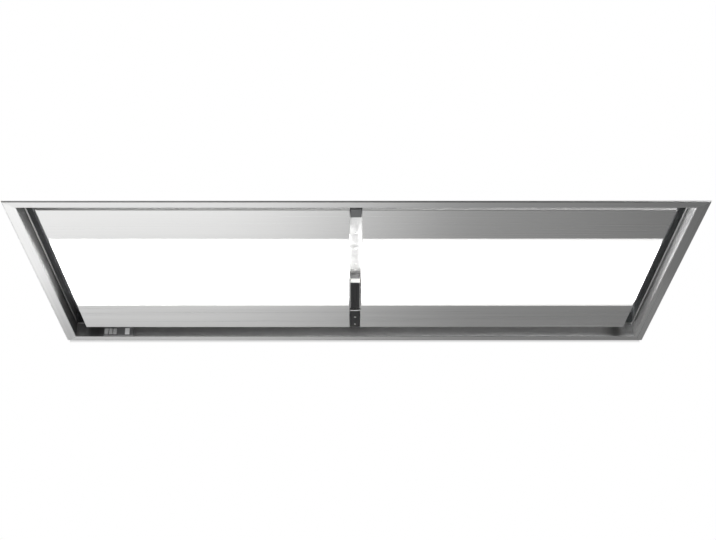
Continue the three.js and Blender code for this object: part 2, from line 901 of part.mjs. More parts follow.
const scrollWall = (() => {
  const inner = scrollOutline(0);
  const outer = scrollOutline(scrollSheet).reverse();
  return prism("z", [...inner, ...outer], scrollBaseTop + seat, scrollTop);
})();
piece("scroll_wall", scrollWall, galvanised);

const scrollPlate = (from, hole) =>
  cut(
    prism("z", scrollOutline(scrollFlange), from, from + scrollSheet),
    bar("z", [fanX, fanY], hole, from - 1, from + scrollSheet + 1, 48),
  );
piece("scroll_base", scrollPlate(lidTop + seat, inletRadius + 4), galvanised);
piece("scroll_cover", scrollPlate(scrollTop + seat, motorRadius + 2), galvanised);

// Bell mouth in the lid: a flange under the lid, a rounded throat and a lip
// that stands inside the wheel's front ring.
const bellTop = scrollBaseTop + inletRise;
const bellSheet = 1.2;
const bellFlange = lidUnder - seat;
const bell = turned(
  [
    [inletRadius + inletFlange + 14, bellFlange],
    [inletRadius + inletFlange + 14, bellFlange - bellSheet],
    [inletRadius + 8, bellFlange - bellSheet],
    [inletRadius + 2.3, bellFlange + 1],
    [inletRadius, bellFlange + 6],
    [inletRadius - bellSheet / 2, bellTop],
    [inletRadius + bellSheet / 2, bellTop],
    [inletRadius + bellSheet, bellFlange + 6],
    [inletRadius + 3.4, bellFlange + 1.6],
    [inletRadius + 8.5, bellFlange],
    [inletRadius + inletFlange + 14, bellFlange],
  ],
  fanX,
  fanY,
  48,
);
piece("inlet_bell", bell, galvanised);

// The wheel: a back plate with its hub, forward-curved blades and a front ring.
function bladeOutline() {
  const start = [wheelInner, 0];
  const tip = [
    (wheelRadius - 1) * Math.cos(bladeSweep),
    (wheelRadius - 1) * Math.sin(bladeSweep),
  ];
  const bend = [wheelInner + (wheelRadius - wheelInner) * 0.82, -1.5];
  const curve = new THREE.QuadraticBezierCurve(
    new THREE.Vector2(...start),
    new THREE.Vector2(...bend),
    new THREE.Vector2(...tip),
  );
  const steps = 4;
  const sides = [1, -1].map((side) =>
    Array.from({ length: steps + 1 }, (_, i) => {
      const at = curve.getPoint(i / steps);
      const along = curve.getTangent(i / steps);
      const half = (side * bladeThick) / 2;
      return [at.x - along.y * half, at.y + along.x * half];
    }),
  );
  return [...sides[0], ...sides[1].reverse()];
}

const wheel = (() => {
  const outline = bladeOutline();
  const blades = Array.from({ length: bladeCount }, (_, i) => {
    const angle = (2 * Math.PI * i) / bladeCount;
    const [c, s] = [Math.cos(angle), Math.sin(angle)];
    const placed = outline.map(([x, y]) => [fanX + x * c - y * s, fanY + x * s + y * c]);
    return prism("z", placed, wheelFoot + 0.5, wheelTop - 0.5);
  });
  const bore = shaftRadius + bearingPlay;
  const back = turned(
    [
      [bore, wheelTop - hubHeight],
      [hubRadius, wheelTop - hubHeight],
      [hubRadius, wheelTop - wheelPlate - 8],
      [hubRadius + 8, wheelTop - wheelPlate],
      [wheelRadius, wheelTop - wheelPlate],
      [wheelRadius, wheelTop],
      [bore, wheelTop],
      [bore, wheelTop - hubHeight],
    ],
    fanX,
    fanY,
    48,
  );
  const frontRing = turned(
    [
      [wheelInner - 1, wheelFoot],
      [wheelRadius, wheelFoot],
      [wheelRadius, wheelFoot + wheelPlate],
      [wheelInner - 1, wheelFoot + wheelPlate],
      [wheelInner - 1, wheelFoot],
    ],
    fanX,
    fanY,
    48,
  );
  return unite(back, frontRing, ...blades);
})();
piece("blower_wheel", wheel, galvanised);

// The motor: a vented can on a flange over the cover, its shaft in the hub.
const flangeFoot = coverTop + seat;
const flangeTop = flangeFoot + motorFlangeThick;
const canTop = coverTop + motorHeight;
const motorBody = turned(
  [
    [0, wheelTop - hubHeight + 2],
    [shaftRadius, wheelTop - hubHeight + 2],
    [shaftRadius, scrollTop - motorDip + 1],
    [motorRadius - 8, scrollTop - motorDip + 1],
    [motorRadius, scrollTop - motorDip + 6],
    [motorRadius, flangeFoot],
    [motorFlange, flangeFoot],
    [motorFlange, flangeTop],
    [motorRadius, flangeTop],
    [motorRadius, canTop - 7],
    [motorRadius - 2, canTop - 2.5],
    [motorRadius - 7, canTop],
    [0, canTop],
  ],
  fanX,
  fanY,
  40,
);
const vents = Array.from({ length: motorVents }, (_, i) => {
  const angle = (2 * Math.PI * i) / motorVents;
  const slot = slotOutline([motorRadius - 19, 0], 16, 4.5, 4);
  const [c, s] = [Math.cos(angle), Math.sin(angle)];
  const placed = slot.map(([x, y]) => [fanX + x * c - y * s, fanY + x * s + y * c]);
  return prism("z", placed, canTop - 6, canTop + 1);
});
piece("motor", cut(motorBody, ...vents), zincSteel);

// --------------------------------------------------------------------- outlet

// A profile of [radius, x] points turned about the axis of the outlet.
function tube(profile) {
  const points = profile.map(([r, x]) => new THREE.Vector2(r, x));
  const geometry = new THREE.LatheGeometry([...points, points[0].clone()], ringSides);
  return geometry.rotateZ(-Math.PI / 2);
}

const outletY = (mouthInnerY + mouthOuterY) / 2;
const outletZ = lidTop + outletRise;
const mouthHalf = (mouthInnerY - mouthOuterY) / 2 + scrollSheet;
const mouthMiddle = (scrollBaseTop + seat + scrollTop) / 2;
const mouthHalfZ = (scrollTop - scrollBaseTop - seat) / 2;
const ringSides = 32;

// The adapter leads from the scroll's square mouth to the round collar. It is
// a round tube about the X axis, each point of it moved towards the mouth's
// outline the nearer it lies to the mouth.
const adapterStart = mouthX + seat;
const adapterEnd = adapterStart + adapterLength;
const bore = outletRadius - outletSheet;
const stations = [0, 0.06, 0.3, 0.6, 0.85, 1];
const adapterTube = tube([
  ...stations.map((share) => [outletRadius, share]),
  ...stations.map((share) => [bore, share]).reverse(),
]);
warp(adapterTube, ([share, across, up]) => {
  const radius = Math.hypot(across, up);
  const [c, s] = [across / radius, up / radius];
  const inset = outletRadius - radius;
  const reach = 1 / Math.max(Math.abs(c) / (mouthHalf - inset), Math.abs(s) / (mouthHalfZ - inset));
  const round = share * share * (3 - 2 * share);
  const blend = (square, circle) => (1 - round) * square + round * circle;
  return [
    adapterStart + adapterLength * share,
    outletY + blend(reach * c, across),
    blend(mouthMiddle + reach * s, outletZ + up),
  ];
});
piece("outlet_adapter", solid(adapterTube), galvanised);

// The collar: a spigot with a bead, a stop ring for the flaps and a hole at
// the top and bottom for their spindle.
const collarStart = adapterEnd + seat;
const collarEnd = collarStart + outletLength;
const flapX = collarStart + flapPlace;
const spindleX = flapX + spindleRadius + flapThick / 2;
const beadAt = collarEnd - 12;
const stopEnd = flapX - flapThick / 2 - seat;
const collarTube = tube([
  [outletRadius, collarStart],
  [outletRadius, beadAt - 4],
  [outletRadius + 2, beadAt],
  [outletRadius, beadAt + 4],
  [outletRadius, collarEnd],
  [bore, collarEnd],
  [bore, stopEnd],
  [bore - stopRing, stopEnd],
  [bore - stopRing, stopEnd - 1.5],
  [bore, stopEnd - 2],
  [bore, collarStart],
]);
collarTube.translate(0, outletY, outletZ);
const spindleHole = bar(
  "z",
  [spindleX, outletY],
  spindleRadius + bearingPlay,
  outletZ - outletRadius - 3,
  outletZ + outletRadius + 3,
  16,
);
piece("outlet_collar", cut(solid(collarTube), spindleHole), blackPlastic);

const spindle = bar(
  "z",
  [spindleX, outletY],
  spindleRadius,
  outletZ - outletRadius - 1,
  outletZ + outletRadius + 1,
  16,
);
piece("flap_spindle", spindle, zincSteel);

// Each flap is half a disc with three knuckles round the spindle. The knuckles
// of one side stand between those of the other.
const knuckle = { radius: spindleRadius + 1.6, half: 9 };
function flapShape(sign) {
  const radius = bore - flapPlay;
  const start = knuckle.radius + 0.4;
  const reach = Math.acos(start / radius);
  const edge = arc([0, 0], radius, -reach, reach, 20);
  const disc = prism(
    "x",
    edge.map(([y, z]) => [outletY + sign * y, outletZ + z]),
    flapX - flapThick / 2,
    flapX + flapThick / 2,
  );
  const heights = sign < 0 ? [-45, 5, 45] : [-25, 25, 62];
  const knuckles = heights.map((z) =>
    unite(
      bar(
        "z",
        [spindleX, outletY],
        knuckle.radius,
        outletZ + z - knuckle.half / 1.5,
        outletZ + z + knuckle.half / 1.5,
        20,
      ),
      block(
        [flapX - flapThick / 2, flapX + flapThick / 2],
        inOrder(outletY + sign * spindleRadius, outletY + sign * (start + 2)),
        [outletZ + z - knuckle.half / 1.5, outletZ + z + knuckle.half / 1.5],
      ),
    ),
  );
  const hole = bar(
    "z",
    [spindleX, outletY],
    spindleRadius + bearingPlay,
    outletZ - outletRadius,
    outletZ + outletRadius,
    20,
  );
  return cut(unite(disc, ...knuckles), hole);
}
piece("flap_front", flapShape(-1), aluminium);
piece("flap_back", flapShape(1), aluminium);

// ----------------------------------------------------------------- electrics

// The electrical box on the lid: a folded base, a lipped cover and the gland
// where the supply comes in.
const eb = electricBox;
const ebX = [eb.x, eb.x + eb.length];
const ebY = [eb.y, eb.y + eb.depth];
const ebFoot = lidTop + seat;
const ebTop = ebFoot + eb.height;
const glandZ = ebFoot + eb.height * 0.45;
const glandY = (ebY[0] + ebY[1]) / 2;
const boxBase = cut(
  block(ebX, ebY, [ebFoot, ebTop]),
  block(
    [ebX[0] + boxSheet, ebX[1] - boxSheet],
    [ebY[0] + boxSheet, ebY[1] - boxSheet],
    [ebFoot + boxSheet, ebTop + 1],
  ),
  bar("x", [glandY, glandZ], glandRadius * 0.75, ebX[0] - 1, ebX[0] + boxSheet + 1),
);
piece("electric_box", boxBase, galvanised);
const boxCover = cut(
  block(
    [ebX[0] - boxSheet - seat, ebX[1] + boxSheet + seat],
    [ebY[0] - boxSheet - seat, ebY[1] + boxSheet + seat],
    [ebTop - 12, ebTop + seat + boxSheet],
  ),
  block([ebX[0] - seat, ebX[1] + seat], [ebY[0] - seat, ebY[1] + seat], [ebTop - 13, ebTop + seat]),
);
piece("electric_box_cover", boxCover, galvanised);

const gland = unite(
  bar("x", [glandY, glandZ], glandRadius * 0.7, ebX[0] - 4, ebX[0] + boxSheet + 8),
  bar("x", [glandY, glandZ], glandRadius * 1.15, ebX[0] - 6, ebX[0] - seat, 6),
  bar("x", [glandY, glandZ], glandRadius * 0.95, ebX[0] - 20, ebX[0] - 5.5),
);
piece(
  "cable_gland",
  cut(gland, bar("x", [glandY, glandZ], glandRadius * 0.4, ebX[0] - 21, ebX[0] + 12)),
  blackPlastic,
);

const db = driverBox;
piece(
  "light_driver",
  prism(
    "x",
    [
      [db.y, lidTop + seat],
      [db.y + db.depth, lidTop + seat],
      [db.y + db.depth, lidTop + db.height - 4],
      [db.y + db.depth - 4, lidTop + db.height],
      [db.y + 4, lidTop + db.height],
      [db.y, lidTop + db.height - 4],
    ],
    db.x,
    db.x + db.length,
  ),
  whitePlastic,
);

export default hood;
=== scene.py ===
from itertools import product
from math import asin, cos, pi, radians, sin

import bmesh
import bpy
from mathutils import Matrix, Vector


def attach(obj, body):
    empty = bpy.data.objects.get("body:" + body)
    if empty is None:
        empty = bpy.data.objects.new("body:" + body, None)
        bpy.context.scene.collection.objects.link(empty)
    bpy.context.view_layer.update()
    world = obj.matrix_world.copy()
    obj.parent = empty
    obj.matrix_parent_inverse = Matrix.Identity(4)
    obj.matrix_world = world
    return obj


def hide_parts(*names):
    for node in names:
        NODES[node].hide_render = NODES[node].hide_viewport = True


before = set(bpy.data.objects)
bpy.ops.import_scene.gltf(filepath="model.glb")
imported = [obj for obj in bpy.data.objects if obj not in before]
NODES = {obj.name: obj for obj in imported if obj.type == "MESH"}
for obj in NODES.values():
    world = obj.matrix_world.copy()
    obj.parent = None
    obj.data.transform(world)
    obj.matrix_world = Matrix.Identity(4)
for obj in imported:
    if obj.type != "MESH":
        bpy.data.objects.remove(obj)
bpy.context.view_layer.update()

MM = 0.001  # shapes are given in millimetres, materials and the stage in metres
ROOT = "housing"
RIGHT, BACK, UP = (1, 0, 0), (0, 1, 0), (0, 0, 1)
LEFT, FRONT, DOWN = (-1, 0, 0), (0, -1, 0), (0, 0, -1)
WHITE = (1, 1, 1, 1)

# --- materials

ALONG_X, ALONG_Y = 0, 1
GRAIN_LINES, GRAIN_BANDS = (1600.0, 3.0), (240.0, 1.2)  # noise scales across and along
GRAIN_DEPTH = 0.00004
SPANGLE_SCALE, SPANGLE_DEPTH = (95, 95, 95), 0.0003


def settle(thing, **settings):
    """Gives a thing its settings."""
    for key, value in settings.items():
        setattr(thing, key, value)
    return thing


def feed(tree, socket, value):
    """Sets a socket, or links another node's output to it."""
    if isinstance(value, bpy.types.NodeSocket):
        tree.links.new(value, socket)
    else:
        socket.default_value = value


def node(tree, kind, sockets=None, **settings):
    """Adds a node with its settings and what its sockets get."""
    made = settle(tree.nodes.new("ShaderNode" + kind), **settings)
    for key, value in (sockets or {}).items():
        feed(tree, made.inputs[key], value)
    return made


def shader(name, colour, roughness, metallic=0.0, **sockets):
    """A Principled material, its tree and its shader's inputs."""
    material = bpy.data.materials.new(name)
    material.use_nodes = True
    inputs = material.node_tree.nodes["Principled BSDF"].inputs
    inputs["Base Color"].default_value = (*colour, 1)
    inputs["Roughness"].default_value = roughness
    inputs["Metallic"].default_value = metallic
    for key, value in sockets.items():
        inputs[key.replace("_", " ")].default_value = value
    return material, material.node_tree, inputs


def object_xyz(tree):
    place = node(tree, "TexCoord").outputs["Object"]
    return node(tree, "SeparateXYZ", {0: place}).outputs


def stretched(tree, scale, offset=(0, 0, 0)):
    """Object coordinates, scaled and moved."""
    place = node(tree, "TexCoord").outputs["Object"]
    sockets = {"Vector": place, "Scale": scale, "Location": offset}
    return node(tree, "Mapping", sockets).outputs["Vector"]


def noise(tree, scale, detail=3.0, roughness=0.55, offset=(0, 0, 0)):
    sockets = {"Scale": 1.0, "Detail": detail, "Roughness": roughness}
    sockets["Vector"] = stretched(tree, scale, offset)
    return node(tree, "TexNoise", sockets).outputs["Fac"]


def maths(tree, operation, *values, clamp=False):
    sockets = dict(enumerate(values))
    return node(tree, "Math", sockets, operation=operation, use_clamp=clamp).outputs[0]


def spread(tree, value, low, high, start=0.3, end=0.7):
    """Maps a value's range to another one, and clamps it."""
    sockets = {"Value": value, "From Min": start, "From Max": end, "To Min": low, "To Max": high}
    return node(tree, "MapRange", sockets).outputs["Result"]


def graded(tree, value, stops):
    """A curve through stops of (value, level)."""
    start, end = stops[0][0], stops[-1][0]
    ramp = node(tree, "ValToRGB", {0: spread(tree, value, 0, 1, start, end)})
    elements = ramp.color_ramp.elements
    places = [((place - start) / (end - start), level) for place, level in stops]
    elements[0].position, elements[1].position = places[0][0], places[-1][0]
    for position, _ in places[1:-1]:
        elements.new(position)
    for element, (_, level) in zip(elements, places):
        element.color = (level, level, level, 1)
    return ramp.outputs[0]


def blended(tree, factor, a, b, kind="MIX"):
    sockets = {"Factor": factor, "A": a, "B": b}
    return node(tree, "Mix", sockets, data_type="RGBA", blend_type=kind).outputs["Result"]


def shaded(tree, inputs, colour, value, dark, light):
    """Lets the base colour vary with a value, between two shades of one colour."""
    ends = [(*(min(1.0, c * factor) for c in colour), 1) for factor in (dark, light)]
    feed(tree, inputs["Base Color"], blended(tree, value, *ends))


def bump(tree, inputs, height, strength, distance):
    sockets = {"Strength": strength, "Distance": distance, "Height": height}
    feed(tree, inputs["Normal"], node(tree, "Bump", sockets).outputs["Normal"])


def shade_painted_by_place(material, **grades):
    """Paints shade into a material: multiplies its colour by levels along its object axes."""
    tree = material.node_tree
    entry = tree.nodes["Principled BSDF"].inputs["Base Color"]
    xyz = object_xyz(tree)
    for axis, stops in grades.items():
        before, level = entry.links[0].from_socket, graded(tree, xyz[axis], stops)
        feed(tree, entry, blended(tree, 1.0, before, level, "MULTIPLY"))
    return material


def brushed(name, grain, tone=0.74, rough=0.3, anisotropy=0.45, relief=0.03, metallic=1.0):
    """Brushed steel with its grain along one axis."""
    colour = (tone, tone, tone - 0.005)
    material, tree, inputs = shader(name, colour, rough, metallic, Anisotropic=anisotropy)

    def by_axis(across, along):
        return [along if axis == grain else across for axis in range(3)]

    lines = noise(tree, by_axis(*GRAIN_LINES), 4.0, 0.6)
    bands = noise(tree, by_axis(*GRAIN_BANDS), 2.0, 0.5, (3.1, 1.7, 0.4))
    both = spread(tree, maths(tree, "ADD", lines, bands), 0.0, 1.0, 0.6, 1.4)
    shaded(tree, inputs, colour, both, 0.93, 1.05)
    feed(tree, inputs["Roughness"], spread(tree, both, rough - 0.05, rough + 0.07, 0, 1))
    bump(tree, inputs, both, relief, GRAIN_DEPTH)
    frames = {"vector_type": "VECTOR", "convert_from": "OBJECT", "convert_to": "WORLD"}
    along = node(tree, "VectorTransform", {"Vector": by_axis(0.0, 1.0)}, **frames).outputs[0]
    normal = node(tree, "NewGeometry").outputs["Normal"]
    tangent = node(tree, "VectorMath", {0: normal, 1: along}, operation="CROSS_PRODUCT")
    feed(tree, inputs["Tangent"], tangent.outputs["Vector"])
    return material


def galvanised(name):
    """Zinc-coated sheet with a fine spangle."""
    colour = (0.56, 0.575, 0.585)
    material, tree, inputs = shader(name, colour, 0.42, 1.0)
    cells = node(tree, "TexVoronoi", {"Scale": 1.0, "Vector": stretched(tree, SPANGLE_SCALE)})
    grey = node(tree, "SeparateColor", {"Color": cells.outputs["Color"]}).outputs[0]
    sockets = {"Factor": 0.45, "A": grey, "B": noise(tree, (9, 9, 9), 4.0)}
    value = node(tree, "Mix", sockets).outputs["Result"]
    shaded(tree, inputs, colour, value, 0.82, 1.12)
    feed(tree, inputs["Roughness"], spread(tree, value, 0.44, 0.62, 0.1, 0.9))
    bump(tree, inputs, value, 0.06, SPANGLE_DEPTH)
    return material


def moulded(name, colour, rough=0.45, grain=1400.0, **sockets):
    """Moulded plastic with a fine texture."""
    material, tree, inputs = shader(name, colour, rough, **sockets)
    fine = noise(tree, (grain,) * 3, 2.0)
    shaded(tree, inputs, colour, noise(tree, (22, 22, 22)), 0.88, 1.1)
    feed(tree, inputs["Roughness"], spread(tree, fine, rough - 0.07, rough + 0.1))
    bump(tree, inputs, fine, 0.25, 0.00006)
    return material


def satin(name, colour, rough=0.35):
    """Plain machined or plated metal."""
    material, tree, inputs = shader(name, colour, rough, 1.0)
    cloudy = noise(tree, (60, 60, 60), 4.0)
    shaded(tree, inputs, colour, cloudy, 0.86, 1.1)
    feed(tree, inputs["Roughness"], spread(tree, cloudy, rough - 0.08, rough + 0.12))
    return material


def lit_opal(name, strength, edge=None):
    """Opal sheet, lit from behind. The edge's stops dim the light with the distance in Y."""
    colour = (0.93, 0.93, 0.925)
    light = {"Emission_Color": WHITE, "Emission_Strength": strength}
    material, tree, inputs = shader(name, colour, 0.3, **light)
    if edge:
        distance = maths(tree, "ABSOLUTE", object_xyz(tree)["Y"])
        feed(tree, inputs["Emission Color"], graded(tree, distance, edge))
    soft = noise(tree, (14, 14, 14), 2.0)
    shaded(tree, inputs, colour, soft, 0.97, 1.0)
    feed(tree, inputs["Roughness"], spread(tree, soft, 0.24, 0.34))
    return material


steel_x = brushed("steel_grain_x", ALONG_X, relief=0.05)
# The panels' front sides and their sides towards the gap: a lighter, less metallic copy of the
# steel as painted light, with painted shade darkening it towards the left end.
side_steel = shade_painted_by_place(
    brushed("side_grain", ALONG_X, 0.94, 0.5, 0.2, metallic=0.35),
    X=[(-0.65, 0.32), (-0.6, 0.5), (-0.45, 0.8), (-0.1, 0.96), (0.65, 1.0)],
)
# The trim: its rim, and its inner walls with a fold and a seam. Each side is a lighter or darker
# copy of one steel as painted light, and painted shade darkens them by place.
rim_front = brushed("rim_front_grain", ALONG_X, 0.69)
rim_back = brushed("rim_back_grain", ALONG_X, 0.72)
# Painted shade: darker towards the front.
rim_left = shade_painted_by_place(
    brushed("rim_left_grain", ALONG_Y, 0.85),
    Y=[(-0.35, 0.80), (-0.2, 0.87), (-0.04, 1.0), (0.35, 1.0)],
)
# Painted shade: darker towards the front.
rim_right = shade_painted_by_place(
    brushed("rim_right_grain", ALONG_Y),
    Y=[(-0.35, 0.68), (-0.04, 0.72), (0.12, 0.95), (0.35, 1.0)],
)
wall_front = brushed("wall_front_grain", ALONG_X, 0.9, 0.75, 0.2)
# Painted shade: darkest near the far-left corner, lighter to the right, with a dark dip near the
# right end.
wall_back = shade_painted_by_place(
    brushed("wall_back_grain", ALONG_X, 0.98, 0.42, 0.2, 0.05),
    X=[(-0.675, 0.7), (-0.66, 0.6), (-0.64, 0.2), (-0.62, 0.15), (-0.57, 0.4), (-0.5, 0.52),
       (-0.3, 0.64), (-0.1, 0.85), (0.1, 0.96), (0.3, 1.0), (0.595, 1.0), (0.615, 0.6),
       (0.628, 0.35), (0.637, 0.37), (0.65, 1.0), (0.675, 1.0)],
)
# A darker copy of the steel for the far fold as painted shade, deepest at the left.
fold_back = shade_painted_by_place(
    brushed("fold_back_grain", ALONG_X, 0.5, 0.36, 0.2),
    X=[(-0.675, 0.45), (-0.5, 0.6), (-0.1, 0.75), (0.3, 0.95), (0.675, 1.0)],
)
# Painted shade: darker towards the back, a little at the front end, and upwards into the slot.
wall_left = shade_painted_by_place(
    brushed("wall_left_grain", ALONG_Y, 0.92, 0.62, 0.2, 0.05),
    Y=[(-0.325, 0.55), (-0.2, 1.0), (0.0, 1.0), (0.08, 0.65), (0.12, 0.36), (0.2, 0.22),
       (0.325, 0.2)],
    Z=[(0.0, 1.0), (0.017, 0.8), (0.032, 0.45)],
)
# Painted shade along the left seam: darker towards the back.
seam_left = shade_painted_by_place(
    brushed("seam_left_grain", ALONG_Y),
    Y=[(-0.325, 0.66), (-0.2, 0.8), (-0.04, 0.68), (0.12, 0.3), (0.325, 0.3)],
)
# Painted shade: darker towards the back.
wall_right = shade_painted_by_place(
    brushed("wall_right_grain", ALONG_Y, 0.98, 0.62, 0.2, 0.05),
    Y=[(-0.325, 1.0), (-0.2, 1.0), (-0.04, 0.8), (0.12, 0.5), (0.2, 0.42), (0.325, 0.42)],
)
zinc_sheet = galvanised("galvanised_sheet")
# The end walls carry painted shade on their inner faces only: darker on the left wall than on the
# right.
zinc_wall = shade_painted_by_place(
    galvanised("galvanised_end_wall"),
    X=[(-0.68, 1.0), (-0.6772, 1.0), (-0.677, 0.42), (0.677, 0.62), (0.6772, 1.0), (0.68, 1.0)],
)
zinc_plate = satin("zinc_plate", (0.5, 0.51, 0.53))
screw_steel = satin("screw_steel", (0.62, 0.62, 0.61), 0.28)
rail_steel = satin("rail_steel", (0.86, 0.86, 0.855), 0.36)
bracket_steel = satin("bracket_steel", (0.34, 0.34, 0.34), 0.45)
magnet_face = satin("magnet_face", (0.34, 0.34, 0.35), 0.3)
mesh_metal = satin("filter_aluminium", (0.66, 0.67, 0.68), 0.4)
pad_metal = satin("pad_aluminium", (0.42, 0.42, 0.42), 0.5)
black = moulded("black_plastic", (0.008, 0.008, 0.0085), 0.42, Specular_IOR_Level=0.28)
rubber = moulded("rubber", (0.018, 0.018, 0.018), 0.7, 500)
dark_grey = moulded("grey_plastic", (0.105, 0.107, 0.11), 0.5)
bezel_grey = moulded("bezel_grey", (0.13, 0.131, 0.133), 0.45)
key_grey = moulded("key_grey", (0.42, 0.422, 0.425), 0.5)
white = moulded("white_plastic", (0.8, 0.8, 0.78), 0.42)
tinted = moulded("tinted_window", (0.8, 0.8, 0.81), 0.12, 900)
LIT_EDGE = [(0.138, 1.0), (0.146, 0.30), (0.153, 0.13), (0.159, 0.08), (0.165, 0.035),
            (0.1705, 0.0)]
opal = lit_opal("opal_light", 3.5, LIT_EDGE)
side_glow = lit_opal("side_light", 3.0)

# Materials with the slot that their pieces take.
SCREW = (screw_steel, "zinc_steel")
RIVET = (mesh_metal, "zinc_steel")
SHEET_METAL = (zinc_sheet, "galvanised")
BLACK = (black, "black_plastic")

# --- shape making


SHARP, BEVELLED = 35, 38  # degrees between faces
WELD_REACH = 0.00001


def linked(name, data):
    """A new object in the scene."""
    made = bpy.data.objects.new(name, data)
    bpy.context.scene.collection.objects.link(made)
    return made


def meshed(name, corners, faces, material):
    mesh = bpy.data.meshes.new(name)
    mesh.from_pydata(corners, [], faces)
    mesh.materials.append(material)
    return mesh


def turn(count, phase=0.0):
    """Angles, evenly round a circle."""
    return [2 * pi * (i + phase) / count for i in range(count)]


def basis(direction):
    """Three unit vectors, the last along the direction."""
    w = Vector(direction).normalized()
    u = Vector(UP).cross(w) if abs(w.z) < 0.9 else Vector(RIGHT)
    u.normalize()
    return u, w.cross(u), w


class Form:
    """Collects closed shapes, given in millimetres, into one mesh."""

    def __init__(self):
        self.verts = []
        self.faces = []

    def loft(self, rings, closed=False):
        """Skins rings of equally many points. Closed joins the last to the first."""
        first, count = len(self.verts), len(rings[0])
        for ring in rings:
            self.verts += [Vector(point) * MM for point in ring]
        spans = len(rings) if closed else len(rings) - 1
        for r in range(spans):
            here, there = first + r * count, first + (r + 1) % len(rings) * count
            for i in range(count):
                j = (i + 1) % count
                self.faces.append((here + i, here + j, there + j, there + i))
        if not closed:
            self.faces.append(tuple(range(first, first + count)))
            end = first + (len(rings) - 1) * count
            self.faces.append(tuple(range(end, end + count)))
        return self

    def lathe(self, profile, centre, direction, sides, closed=False):
        """Turns a profile of (radius, height) about an axis."""
        u, v, w = basis(direction)
        at = Vector(centre)
        rings = [
            [at + (u * cos(a) + v * sin(a)) * max(r, 0.01) + w * h for a in turn(sides)]
            for r, h in profile
        ]
        return self.loft(rings, closed)

    def prism(self, outline, start, end, axis=2):
        """Extrudes an outline along an axis; its points are the other two coordinates."""
        return self.loft([[(*p[:axis], h, *p[axis:]) for p in outline] for h in (start, end)])

    def box(self, low, high):
        (x0, y0, z0), (x1, y1, z1) = low, high
        return self.prism([(x0, y0), (x1, y0), (x1, y1), (x0, y1)], z0, z1)

    def tube(self, path, radius, sides=10):
        """A round bar along a path."""
        points = [Vector(p) for p in path]
        u, rings = None, []
        for i, point in enumerate(points):
            ahead = points[min(i + 1, len(points) - 1)] - points[max(i - 1, 0)]
            w = ahead.normalized()
            u = basis(w)[0] if u is None else (u - w * u.dot(w)).normalized()
            v = w.cross(u)
            rings.append([point + (u * cos(a) + v * sin(a)) * radius for a in turn(sides)])
        return self.loft(rings)

    def screw(self, at, direction, radius, height, washer=0.0):
        """A domed head with a hexagon recess, and a washer under it."""
        u, v, w = basis(direction)
        at, sides = Vector(at), 24
        angles = turn(sides)
        if washer:
            self.lathe([(washer, -0.1), (washer, 0.9), (radius, 1.0)], at, direction, sides)
            at = at + w * 0.9

        def ring(r, h, hexagon=False):
            reach = (r / cos((a + pi / 6) % (pi / 3) - pi / 6) if hexagon else r for a in angles)
            return [at + (u * cos(a) + v * sin(a)) * d + w * h for a, d in zip(angles, reach)]

        size = radius * 0.42
        rings = [ring(radius, -0.2), ring(radius, height * 0.35)]
        rings += [ring(radius * 0.93, height * 0.7), ring(radius * 0.72, height)]
        rings += [ring(size, height, True), ring(size * 0.96, height * 0.3, True)]
        return self.loft(rings)

    def rivet(self, at, direction, radius=3.2):
        """A blind rivet's domed head with its mandrel hole."""
        h = radius * 0.42
        profile = [(radius, -0.2), (radius, 0.1 * h), (radius * 0.86, 0.62 * h)]
        profile += [(radius * 0.55, h), (radius * 0.3, h), (radius * 0.27, h * 0.2)]
        return self.lathe(profile, at, direction, 20)

    def bead(self, centre, length, width, height, normal, along):
        """A pressed bead: a long round-ended swelling on a sheet."""
        w, u = Vector(normal), Vector(along)
        v = w.cross(u)
        at = Vector(centre)
        rings = []
        for shrink, rise in ((0, -0.3), (0.08, 0.12), (0.22, 0.5), (0.4, 0.82), (0.62, 1.0)):
            half = width / 2 * (1 - shrink)
            ring = []
            for a in turn(20, 0.5):
                shift = (length / 2 - width / 2) * (1 if cos(a) > 0 else -1)
                edge = u * (shift + half * cos(a)) + v * half * sin(a)
                ring.append(at + edge + w * height * rise)
            rings.append(ring)
        return self.loft(rings)

    def fins(self, centre, direction, count, inner, stations, foot=0.9, phase=0.5, gap=0.0):
        """Bars round an axis. The stations are (height along it, outer radius)."""
        across, up, w = basis(direction)
        for a in turn(count, phase):
            if abs(a - pi) < gap:
                continue
            u = across * cos(a) + up * sin(a)
            v = up * cos(a) - across * sin(a)
            rings = []
            for height, outer in stations:
                at = Vector(centre) + w * height
                tip = foot - 0.3
                corners = ((inner, -foot), (outer, -tip), (outer, tip), (inner, foot))
                rings.append([at + u * r + v * side for r, side in corners])
            self.loft(rings)
        return self

    def made(self, name, material, slot, body=ROOT, replaces=(), sharp=SHARP, bevel=0, segments=2):
        """Makes one piece of the shapes."""
        mesh = meshed(name, self.verts, self.faces, material)
        outward = bmesh.new()
        outward.from_mesh(mesh)
        bmesh.ops.recalc_face_normals(outward, faces=outward.faces)
        outward.to_mesh(mesh)
        outward.free()
        mesh.shade_smooth()
        mesh.set_sharp_from_angle(angle=radians(sharp))
        piece = linked(name, mesh)
        if bevel:
            rounded(piece, bevel, segments)
        evened(piece)
        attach(piece, body)
        if replaces:
            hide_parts(*replaces)
        return piece


def rounded(piece, width, segments):
    """Softens a piece's edges."""
    edge = piece.modifiers.new("rounded_edges", "BEVEL")
    settle(edge, width=width * MM, segments=segments, limit_method="ANGLE")
    settle(edge, angle_limit=radians(BEVELLED), use_clamp_overlap=True)


def evened(piece):
    """Keeps large flat faces flat beside small folds."""
    normals = piece.modifiers.new("even_normals", "WEIGHTED_NORMAL")
    settle(normals, mode="FACE_AREA", weight=50, keep_sharp=True)


